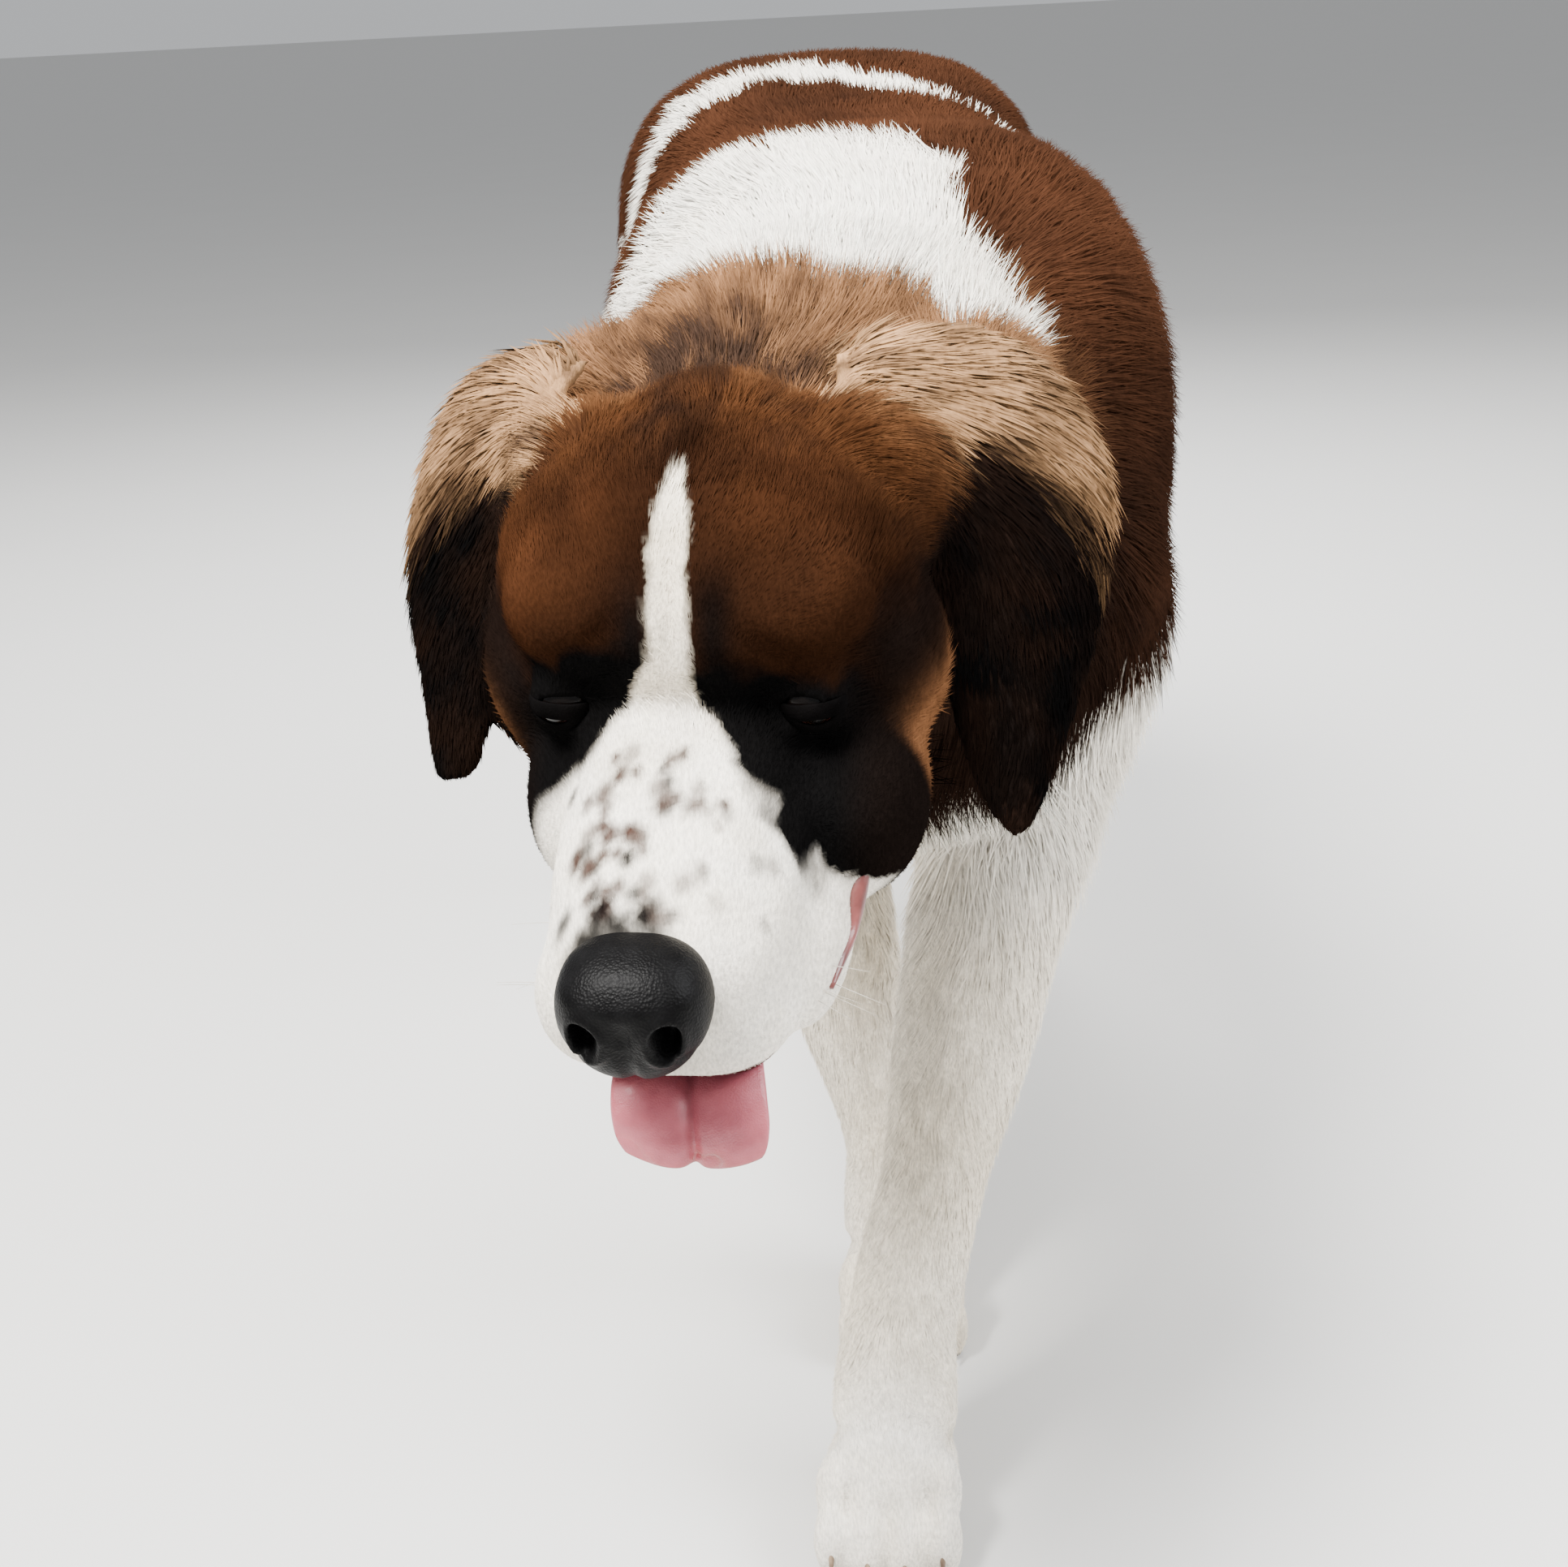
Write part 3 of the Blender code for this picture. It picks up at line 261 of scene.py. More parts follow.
coatDepth = {
    "trunk": 0.011,
    "neck": 0.012,
    "skull": 0.0045,
    "muzzle": 0.0026,
    "lid": 0.0008,
    "leg": 0.0055,
    "paw": 0.0022,
    "tail": 0.024,
}
fineness = {  # voxel sizes and rounds of smoothing
    "head": (0.0029, 26),
    "headAgain": (0.0034, 2),
    "body": (0.0072, 10),
    "paw": (0.004, 5),
}
flewSwing = 0.008
jowlSwing = 0.01
trunkStations = (  # y, z at the widest, half width, top, bottom
    (-0.268, 0.49, 0.06, 0.56, 0.425),
    (-0.24, 0.5, 0.108, 0.62, 0.385),
    (-0.19, 0.515, 0.145, 0.68, 0.352),
    (-0.12, 0.535, 0.17, 0.725, 0.332),
    (-0.04, 0.55, 0.184, 0.762, 0.324),
    (0.05, 0.555, 0.188, 0.765, 0.326),
    (0.15, 0.565, 0.184, 0.76, 0.34),
    (0.25, 0.58, 0.175, 0.765, 0.368),
    (0.34, 0.605, 0.174, 0.78, 0.405),
    (0.43, 0.63, 0.182, 0.798, 0.44),
    (0.51, 0.635, 0.176, 0.795, 0.45),
    (0.575, 0.62, 0.148, 0.765, 0.47),
    (0.625, 0.6, 0.1, 0.715, 0.5),
    (0.648, 0.595, 0.045, 0.66, 0.545),
)
neckStations = (  # x, y, z, half width, half height
    (-0.102, -0.465, 0.556, 0.07, 0.095),
    (-0.093, -0.4, 0.558, 0.092, 0.118),
    (-0.077, -0.32, 0.563, 0.113, 0.134),
    (-0.05, -0.235, 0.572, 0.137, 0.144),
    (-0.022, -0.15, 0.59, 0.157, 0.15),
    (0.000, -0.06, 0.608, 0.168, 0.154),
)
limbStations = {  # x, y, z, half width, half depth
    "foreLeft": (
        (0.104, -0.16, 0.52, 0.06, 0.08), (0.101, -0.13, 0.46, 0.061, 0.085),
        (0.084, -0.112, 0.405, 0.06, 0.078), (0.051, -0.168, 0.325, 0.054, 0.063),
        (0.021, -0.228, 0.236, 0.046, 0.05), (0.002, -0.261, 0.177, 0.037, 0.04),
        (-0.015, -0.287, 0.128, 0.038, 0.04), (-0.025, -0.307, 0.092, 0.038, 0.039),
        (-0.031, -0.328, 0.05, 0.041, 0.044),
    ),
    "foreRight": (
        (-0.108, -0.11, 0.52, 0.06, 0.08), (-0.106, -0.08, 0.46, 0.064, 0.085),
        (-0.092, -0.058, 0.405, 0.061, 0.076), (-0.06, -0.068, 0.3, 0.053, 0.06),
        (-0.035, -0.08, 0.19, 0.041, 0.046), (-0.017, -0.086, 0.125, 0.038, 0.04),
        (-0.014, -0.093, 0.088, 0.038, 0.039), (-0.014, -0.106, 0.05, 0.041, 0.044),
    ),
    "hindLeft": (
        (0.085, 0.475, 0.63, 0.082, 0.115), (0.105, 0.44, 0.54, 0.074, 0.13),
        (0.114, 0.405, 0.46, 0.063, 0.106), (0.116, 0.385, 0.395, 0.054, 0.078),
        (0.113, 0.425, 0.335, 0.049, 0.068), (0.107, 0.487, 0.275, 0.039, 0.05),
        (0.103, 0.535, 0.222, 0.033, 0.044), (0.1, 0.538, 0.16, 0.031, 0.035),
        (0.096, 0.532, 0.1, 0.033, 0.036), (0.092, 0.515, 0.05, 0.037, 0.042),
    ),
    "hindRight": (
        (-0.085, 0.475, 0.63, 0.082, 0.115), (-0.105, 0.455, 0.54, 0.074, 0.13),
        (-0.112, 0.44, 0.46, 0.063, 0.106), (-0.114, 0.43, 0.395, 0.054, 0.078),
        (-0.11, 0.49, 0.335, 0.049, 0.068), (-0.104, 0.565, 0.285, 0.039, 0.05),
        (-0.099, 0.63, 0.235, 0.033, 0.044), (-0.096, 0.65, 0.17, 0.031, 0.035),
        (-0.093, 0.668, 0.105, 0.033, 0.036), (-0.09, 0.672, 0.05, 0.037, 0.042),
    ),
}
pawPlaces = {  # x, y, turn in degrees, scale, leg
    "foreLeft": (-0.034, -0.345, -6.0, 1.0),
    "foreRight": (-0.014, -0.126, -3.0, 1.0),
    "hindLeft": (0.092, 0.492, 4.0, 0.92),
    "hindRight": (-0.09, 0.65, -5.0, 0.92),
}
tailStations = (  # x, y, z, half width, half depth
    (-0.012, 0.56, 0.715, 0.04, 0.042),
    (-0.012, 0.64, 0.705, 0.038, 0.04),
    (-0.01, 0.69, 0.655, 0.042, 0.046),
    (-0.006, 0.715, 0.58, 0.046, 0.052),
    (0.000, 0.728, 0.49, 0.048, 0.056),
    (0.006, 0.735, 0.4, 0.046, 0.054),
    (0.012, 0.75, 0.32, 0.038, 0.044),
    (0.018, 0.775, 0.255, 0.03, 0.032),
)
muzzleStations = (  # y, z at the widest, half width, top, lip
    (0.04, -0.04, 0.062, 0.016, -0.096),
    (0.000, -0.048, 0.061, 0.009, -0.102),
    (-0.04, -0.056, 0.059, 0.000, -0.108),
    (-0.08, -0.062, 0.057, -0.006, -0.112),
    (-0.11, -0.065, 0.052, -0.012, -0.11),
    (-0.129, -0.065, 0.044, -0.02, -0.102),
    (-0.14, -0.064, 0.03, -0.034, -0.09),
)
mouthStations = (  # y, half width, palate
    (0.004, 0.034, -0.091),
    (-0.05, 0.036, -0.09),
    (-0.095, 0.035, -0.089),
    (-0.18, 0.033, -0.09),
)
mouthFloor = -0.138
jawStations = (  # x, y, z, half width, half height
    (0.005, 0.012, -0.12, 0.03, 0.022),
    (0.006, -0.04, -0.125, 0.031, 0.02),
    (0.006, -0.08, -0.125, 0.029, 0.0165),
    (0.006, -0.106, -0.122, 0.022, 0.012),
    (0.006, -0.114, -0.12, 0.011, 0.007),
)
ears = {
    "left": {
        "front": ((-0.046, -0.44, 0.65), (-0.012, -0.455, 0.58), (0.018, -0.484, 0.462)),
        "rear": ((-0.036, -0.352, 0.672), (0.075, -0.345, 0.712), (0.142, -0.4, 0.59),
                 (0.052, -0.45, 0.52), (0.042, -0.482, 0.462)),
        "belly": 0.012,
    },
    "right": {
        "front": ((-0.184, -0.452, 0.642), (-0.2, -0.46, 0.575), (-0.212, -0.482, 0.5)),
        "rear": ((-0.158, -0.352, 0.672), (-0.232, -0.33, 0.7), (-0.27, -0.36, 0.6),
                 (-0.238, -0.43, 0.52), (-0.227, -0.458, 0.5)),
        "belly": -0.012,
    },
}
earThick = 0.0085
earRoot = ((0.054, 0.112, 0.026), (0.055, 0.066, 0.046))
ruffSides = ((0.088, -0.285, 0.622), (0.062, 0.078, 0.066))
ruffSwing = -0.062
noseShape = {
    "at": (-0.003, -0.142, -0.043),
    "size": (0.0307, 0.026, 0.0282),
    "nostril": (0.43, 0.1),  # across and up, as shares of the size
}
lipShape = {  # the pink inner lip at the corner of the mouth
    "stations": ((0.075, -0.034, -0.064, 0.0012, 0.0016), (0.0735, -0.0396, -0.0695, 0.0034, 0.0042),
                 (0.069, -0.0544, -0.084, 0.0034, 0.0044), (0.0665, -0.0742, -0.0835, 0.0028, 0.0036),
                 (0.0652, -0.088, -0.0855, 0.0009, 0.0013)),
    "clear": 0.0036,
}


def spline(stations, steps):  # smooth curve through rows of numbers
    rows = [np.array(s, float) for s in stations]
    rows = [2 * rows[0] - rows[1]] + rows + [2 * rows[-1] - rows[-2]]
    made = []
    for a, b, c, d in zip(rows, rows[1:], rows[2:], rows[3:]):
        for k in range(steps):
            t = k / steps
            made.append(0.5 * (2 * b + (c - a) * t + (2 * a - 5 * b + 4 * c - d) * t * t
                               + (3 * b - a - 3 * c + d) * t ** 3))
    return made + [rows[-2]]


def power(value, amount):
    return math.copysign(abs(value) ** amount, value)


def newRing(bm, sides, rule):  # points in a ring, each placed by its angle
    made = bmesh.ops.create_circle(bm, cap_ends=False, radius=1, segments=sides)["verts"]
    for i, vert in enumerate(made):
        vert.co = rule(math.tau * i / sides)
    return list({edge for vert in made for edge in vert.link_edges})


def addRing(bm, centre, side, up, half, rise, drop, squareTop, squareLow, sides=24):
    def rule(angle):
        tall = math.sin(angle)
        bend = 2 / (squareTop if tall > 0 else squareLow)
        return (centre + side * half * power(math.cos(angle), bend)
                + up * (rise if tall > 0 else drop) * power(tall, bend))
    return newRing(bm, sides, rule)


def closeForm(bm, rings, matrix, closed=False):  # bridges the rings and sets the new form in its place
    for low, high in zip(rings, rings[1:] + (rings[:1] if closed else [])):
        bmesh.ops.bridge_loops(bm, edges=low + high)
    if not closed:
        bmesh.ops.edgeloop_fill(bm, edges=rings[0])
        bmesh.ops.edgeloop_fill(bm, edges=rings[-1])
    fresh = [vert for vert in bm.verts if not vert.tag]
    bmesh.ops.transform(bm, matrix=matrix, verts=fresh)
    for vert in fresh:
        vert.tag = True


def addTube(bm, stations, reference, matrix, inset=0.0, square=2.0, steps=4, sides=24, least=0.003):
    rows = spline(stations, steps)
    rings = []
    for i, row in enumerate(rows):
        along = Vector(rows[min(i + 1, len(rows) - 1)][:3] - rows[max(i - 1, 0)][:3]).normalized()
        side = along.cross(Vector(reference)).normalized()
        up = side.cross(along).normalized()
        half, deep = max(row[3] - inset, least), max(row[4] - inset, least)
        rings.append(addRing(bm, Vector(row[:3]), side, up, half, deep, deep, square, square, sides))
    closeForm(bm, rings, matrix)


def addBarrel(bm, stations, matrix, inset, squareTop, squareLow, sway=0.0):  # sway moves the rump aside
    rings = []
    for y, z, half, top, low in spline(stations, 4):
        reach = [max(size - inset, 0.01) for size in (half, top - z, z - low)]
        rings.append(addRing(bm, Vector((sway * ease(0.1, 0.45, y), y, z)), Vector((1, 0, 0)),
                             Vector((0, 0, 1)), *reach, squareTop, squareLow))
    closeForm(bm, rings, matrix)


def addBall(bm, centre, radii, matrix, inset=0.0):
    sized = Matrix.Diagonal((*[r - inset for r in radii], 1))
    made = bmesh.ops.create_uvsphere(bm, u_segments=24, v_segments=16, radius=1,
                                     matrix=matrix @ Matrix.Translation(centre) @ sized)
    for vert in made["verts"]:
        vert.tag = True


def addPair(bm, centre, radii, matrix, inset=0.0, swing=0.0):
    x, y, z = centre
    for sign in (1, -1):
        addBall(bm, (sign * x + swing, y, z), radii, matrix, inset)


def applyModifiers(obj):
    graph = bpy.context.evaluated_depsgraph_get()
    mesh = bpy.data.meshes.new_from_object(obj.evaluated_get(graph))
    old = obj.data
    obj.modifiers.clear()
    obj.data = mesh
    bpy.data.meshes.remove(old)
    return obj


def fuse(name, bm, voxel, rounds):  # one closed skin over overlapping forms
    made = finishMesh(name, bm)
    remesh = made.modifiers.new("fuse", "REMESH")
    remesh.mode = "VOXEL"
    remesh.voxel_size = voxel
    soften = made.modifiers.new("soften", "SMOOTH")
    soften.factor = 0.5
    soften.iterations = rounds
    triangles = made.modifiers.new("triangles", "TRIANGULATE")
    triangles.min_vertices = 4
    return applyModifiers(made)


def combine(obj, tool, operation):
    cut = obj.modifiers.new("cut", "BOOLEAN")
    cut.operation = operation
    cut.solver = "MANIFOLD"
    cut.object = tool
    applyModifiers(obj)
    bpy.data.objects.remove(tool, do_unlink=True)
    return obj


def curveAt(points, t):  # point on a curve drawn by its corner points
    rows = [np.array(p) for p in points]
    while len(rows) > 1:
        rows = [a + (b - a) * t for a, b in zip(rows, rows[1:])]
    return rows[0]


def earPoint(ear, u, v):
    front, rear = curveAt(ear["front"], v), curveAt(ear["rear"], v)
    return front + (rear - front) * u


def direction(step):
    return step / np.linalg.norm(step)


def earSurface(ear, u, v):  # place on the flap, and the ways out of it, down it and over it
    down = earPoint(ear, u, min(v + 0.03, 1)) - earPoint(ear, u, max(v - 0.03, 0))
    over = earPoint(ear, 1, v) - earPoint(ear, 0, v)
    normal = direction(np.cross(down, over)) * math.copysign(1, ear["belly"])
    belly = abs(ear["belly"]) * math.sin(math.pi * u) * (0.4 + 0.6 * v)
    return earPoint(ear, u, v) + normal * belly, normal, direction(down), direction(over)


def addEar(bm, ear):
    sheets = []
    for half in (0.5, -0.5):
        made = bmesh.ops.create_grid(bm, x_segments=12, y_segments=20, size=1)["verts"]
        for vert in made:
            u, v = (vert.co.x + 1) / 2, (vert.co.y + 1) / 2 * 0.985
            narrow = 0.96 * math.sqrt(1 - 0.9 * max((v - 0.84) / 0.145, 0) ** 3)
            spot, normal, _, _ = earSurface(ear, 0.5 + narrow * (u - 0.5), v)
            rim = 0.45 + 0.55 * math.sin(math.pi * u) ** 0.5
            vert.co = place @ Vector(spot + normal * earThick * half * rim)
            vert.tag = True
        edges = {edge for vert in made for edge in vert.link_edges if len(edge.link_faces) == 1}
        sheets += list(edges)
    bmesh.ops.bridge_loops(bm, edges=sheets)


def almondRing(bm, matrix, depth, size):
    def rule(angle):
        x = 0.0132 * size * math.cos(angle)
        z = 0.008 * size * math.sin(angle) * (1 - 0.35 * math.cos(angle) ** 2)
        return matrix @ Vector((x, depth, z))
    return newRing(bm, 32, rule)


def eyeSocket(side):  # turn and place of the opening between the lids
    return (head @ Matrix.Translation((side * headPose["eyeOut"], -0.012, -0.0005))
            @ turned(side * 16, "Z") @ turned(side * 8, "Y"))


headForms = {  # middle, half sizes, coat over it, one or a pair, swing to the left
    "skull": ((0, 0.07, 0.018), (0.099, 0.088, 0.075), "skull", 1, 0),
    "crown": ((0, 0.12, 0.042), (0.052, 0.045, 0.046), "skull", 1, 0),
    "throat": ((0, 0.06, -0.075), (0.054, 0.075, 0.056), "skull", 1, 0),
    "muzzle": (),  # made from muzzleStations
    "brows": ((0.041, 0.027, 0.034), (0.046, 0.042, 0.034), "skull", 2, 0),
    "cheeks": ((0.066, 0.058, -0.022), (0.045, 0.055, 0.056), "skull", 2, 0),
    "earRoots": (*earRoot, "skull", 2, 0),
    "sockets": ((0.052, 0.032, -0.014), (0.032, 0.042, 0.03), "skull", 2, 0),
    "jowls": ((0.058, 0.01, -0.06), (0.036, 0.055, 0.046), "muzzle", 2, jowlSwing),
    "flews": ((0.042, -0.05, -0.086), (0.024, 0.058, 0.036), "muzzle", 2, flewSwing),
    "rightFlew": ((-0.028, -0.11, -0.068), (0.03, 0.033, 0.036), "muzzle", 1, 0),
    "lidMounds": ((headPose["eyeOut"], 0.001, 0), (0.0172, 0.0172, 0.0172), "lid", 2, 0),
}


def makeHeadSkin():
    bm = bmesh.new()
    swung = Matrix(((1, 0, -flewSwing / 0.08, -0.0025), (0, 1, 0, 0), (0, 0, 1, 0), (0, 0, 0, 1)))
    for name, form in headForms.items():
        if name == "muzzle":
            addBarrel(bm, muzzleStations, head @ swung, coatDepth["muzzle"], 2.6, 2.8)
            continue
        centre, radii, coat, copies, swing = form
        add = addPair if copies == 2 else addBall
        add(bm, centre, radii, head, coatDepth[coat], *[swing] * (copies - 1))
    addTube(bm, neckStations[:4], (0, 0, 1), place, coatDepth["neck"], 2.2)
    skin = fuse("skin", bm, *fineness["head"])
    foldFace(skin.data)
    bm = bmesh.new()
    rings = [addRing(bm, Vector((flewSwing, y, mouthFloor)), Vector((1, 0, 0)), Vector((0, 0, 1)), half,
                     roof - mouthFloor, 0.05, 3.2, 3.2) for y, half, roof in spline(mouthStations, 2)]
    closeForm(bm, rings, head)
    combine(skin, closedCutter("mouthSpace", bm), "DIFFERENCE")
    for side in (1, -1):
        bm = bmesh.new()
        rings = [almondRing(bm, eyeSocket(side), *ring) for ring in ((-0.014, 1.2), (0.0, 1.0), (0.014, 0.8))]
        closeForm(bm, rings, Matrix.Identity(4))
        combine(skin, closedCutter("lidGap", bm), "DIFFERENCE")
    bm = bmesh.new()
    bm.from_mesh(skin.data)
    for vert in bm.verts:
        vert.tag = True
    addTube(bm, jawStations, (0, 0, 1), head, 0.0015, 2.3, 3, 20)
    for ear in ears.values():
        addEar(bm, ear)
    bpy.data.objects.remove(skin, do_unlink=True)
    return fuse("skin", bm, *fineness["headAgain"])


def closedCutter(name, bm):
    bmesh.ops.recalc_face_normals(bm, faces=bm.faces)
    bmesh.ops.triangulate(bm, faces=bm.faces)
    return finishMesh(name, bm)


def foldFace(mesh):  # furrow, brow folds and the hollow below each eye
    co, normal = readRows(mesh.vertices, "co", 3), readRows(mesh.vertices, "normal", 3)
    x, y, z = inHead(inLayout(co)).T
    furrow = hill(x, 0, 0.006) * ease(0.012, 0.045, z) * ease(0.1, 0.06, y)
    move = -0.004 * furrow * (ease(0.1, 0.05, y) * ease(-0.05, -0.02, z))
    for side in (1, -1):
        sx = side * x
        wave = np.sin((sx * 0.55 + z - 0.04) / 0.0105 * math.pi)
        move += 0.0013 * wave * (hill(sx, 0.034, 0.02) * hill(z, 0.036, 0.018) * (y < 0.06))
        move -= 0.0022 * (hill(sx, 0.046, 0.014, z, -0.02, 0.01) * (y < 0.03))
        move += 0.0022 * (hill(sx, 0.05, 0.018, z, 0.02, 0.008) * (y < 0.04))
    mesh.vertices.foreach_set("co", (co + normal * move[:, None]).ravel())
    mesh.update()


def makeBodySkin():
    bm = bmesh.new()
    addBarrel(bm, trunkStations, place, coatDepth["trunk"], 2.9, 2.3, -0.012)
    addTube(bm, neckStations, (0, 0, 1), place, coatDepth["neck"], 2.2)
    addBall(bm, (0, 0.085, 0.008), (0.08, 0.07, 0.072), head)
    addPair(bm, (0.112, -0.085, 0.59), (0.066, 0.105, 0.125), place, coatDepth["trunk"])
    addPair(bm, *earRoot, head, coatDepth["skull"])
    addPair(bm, *ruffSides, place, coatDepth["neck"], ruffSwing)
    for stations in limbStations.values():
        addTube(bm, stations, (0, -1, 0), place, coatDepth["leg"], 2.1)
    addTube(bm, tailStations, (1, 0, 0), place, coatDepth["tail"], 2.0)
    return fuse("body", bm, *fineness["body"])


toeSpread = (-1.5, -0.5, 0.5, 1.5)


def toePoints(spread):
    inner = 1 - abs(spread) / 2.6
    return spread * 0.0205, -0.022 - 0.014 * inner, -0.04 - 0.02 * inner


def pawMatrix(leg):
    x, y, turn, scale = pawPlaces[leg]
    return place @ Matrix.Translation((x, y, 0)) @ turned(turn, "Z") @ Matrix.Scale(scale, 4)


def makePawSkin(leg):
    bm = bmesh.new()
    matrix, inset = pawMatrix(leg), coatDepth["paw"]
    addBall(bm, (0, 0.006, 0.026), (0.0414, 0.046, 0.036), matrix, inset)
    addBall(bm, (0, -0.012, 0.044), (0.0351, 0.04, 0.028), matrix, inset)
    x, y, z, half, deep = limbStations[leg][-3]
    shin = ((x, y, z, half - 0.009, deep - 0.009), *limbStations[leg][-2:])  # starts inside the leg
    addTube(bm, shin, (0, -1, 0), place, coatDepth["leg"] * 0.8, 2.1)
    for spread in toeSpread:
        across, knuckle, tip = toePoints(spread)
        addBall(bm, (across, knuckle, 0.036), (0.012, 0.022, 0.023), matrix, inset * 0.6)
        addBall(bm, (across, tip, 0.018), (0.0125, 0.019, 0.024), matrix, inset * 0.6)
    paw = fuse("paw", bm, *fineness["paw"])
    bm = bmesh.new()
    bmesh.ops.create_cube(bm, size=2, matrix=Matrix.Translation((0, 0, -0.9995)))
    return combine(paw, closedCutter("ground", bm), "DIFFERENCE")


def makeSkin():
    skin = makeHeadSkin()
    print("head skin", len(skin.data.polygons))
    body = makeBodySkin()
    print("body skin", len(body.data.polygons))
    for leg in pawPlaces:
        combine(body, makePawSkin(leg), "UNION")
    combine(skin, body, "UNION")
    skin.data.shade_smooth()
    return skin


skin = makeSkin()
print("one skin", sum(len(p.vertices) - 2 for p in skin.data.polygons), "triangles")

# markings: the colour of the coat at any place

tones = {
    "white": (0.92, 0.87, 0.78),
    "cream": (0.8, 0.67, 0.47),
    "red": (0.0185, 0.0074, 0.0036),
    "redDeep": (0.0055, 0.0025, 0.0015),
    "orange": (0.042, 0.0155, 0.0066),
    "tawny": (0.046, 0.018, 0.0074),
    "crown": (0.098, 0.043, 0.018),
    "saddle": (0.05, 0.02, 0.01),
    "umber": (0.012, 0.0064, 0.0044),
    "sandy": (0.205, 0.1, 0.046),
    "flax": (0.38, 0.21, 0.1),
    "grey": (0.03, 0.0175, 0.012),
    "mask": (0.003, 0.0028, 0.0028),
    "tan": (0.15, 0.065, 0.028),
    "speck": (0.045, 0.022, 0.016),
    "mouth": (0.06, 0.014, 0.014),
    "pad": (0.008, 0.007, 0.006),
}
tones = {name: np.array(tone) for name, tone in tones.items()}
withersPatch = ((-0.175, -0.085), (-0.149, -0.06), (-0.095, -0.014), (-0.052, -0.019), (0.029, -0.055),
                (0.044, -0.093), (0.034, -0.194), (0.067, -0.24), (0.055, -0.268), (0.025, -0.302),
                (0.003, -0.28), (-0.035, -0.273), (-0.095, -0.246), (-0.15, -0.2))
blazeLeft = (  # height on the face and the blaze's edge on the dog's left
    (-0.09, 0.106), (-0.064, 0.07), (-0.056, 0.062), (-0.041, 0.053), (-0.0204, 0.042), (-0.0074, 0.0275),
    (-0.0005, 0.0165), (0.0058, 0.0085), (0.0177, 0.0058), (0.04, 0.0062), (0.075, 0.0045), (0.094, -0.001))
maskTop = ((0.015, 0.02), (0.025, 0.0235), (0.058, 0.016), (0.075, 0.001), (0.089, -0.02), (0.105, -0.045))
blazeRight = (
    (-0.09, -0.11), (-0.062, -0.09), (-0.045, -0.075), (-0.0283, -0.0546), (-0.01, -0.0412),
    (-0.0018, -0.0307), (0.003, -0.0251), (0.01, -0.0205), (0.0298, -0.0105), (0.055, -0.0095),
    (0.08, -0.0065), (0.094, -0.001))
muzzleWhite = ((-0.06, -0.038), (0.0, -0.048), (0.046, -0.061), (0.055, -0.067), (0.066, -0.078), (0.074, -0.074))
saddleLeft = (  # place along the trunk and the height where the brown ends
    (-0.45, 0.5), (-0.33, 0.43), (-0.27, 0.388), (-0.24, 0.385), (-0.205, 0.436), (-0.1, 0.5),
    (0.0, 0.55), (0.1, 0.59), (0.3, 0.61), (0.45, 0.56), (0.6, 0.61))
saddleRight = ((-0.45, 0.5), (-0.3, 0.5), (-0.2, 0.56), (-0.1, 0.63), (0.0, 0.655), (0.3, 0.655), (0.6, 0.64))
beltFront = ((-0.17, 0.31), (-0.138, 0.336), (-0.098, 0.354), (-0.057, 0.368), (0.08, 0.312), (0.15, 0.28))
beltRear = ((-0.17, 0.354), (-0.132, 0.4), (-0.032, 0.398), (0.08, 0.328), (0.15, 0.29))
paintedBrowHighlights = (  # painted highlights on the brow bulges: strength, then middle and size across and up
    (1.0, -0.076, 0.026, 0.052, 0.03), (0.55, 0.04, 0.026, 0.08, 0.018),
    (0.4, 0.064, 0.02, 0.05, 0.022), (0.4, -0.04, 0.018, 0.076, 0.018))


def fromTable(table, value):
    keys, values = zip(*table)
    return np.interp(value, keys, values)


def inPolygon(x, y, corners):  # 1 inside, 0 outside
    inside = np.zeros(len(x), bool)
    for (ax, ay), (bx, by) in zip(corners, corners[1:] + corners[:1]):
        crosses = (ay > y) != (by > y)
        at = ax + (y - ay) / (by - ay if by != ay else 1e-9) * (bx - ax)
        inside ^= crosses & (x < at)
    return inside.astype(float)


def capsule(points, start, end):  # distance from a line between two points
    start, end = np.array(start), np.array(end)
    line = end - start
    t = np.clip((points - start) @ line / (line @ line), 0, 1)
    return np.linalg.norm(points - start - t[:, None] * line, axis=1)


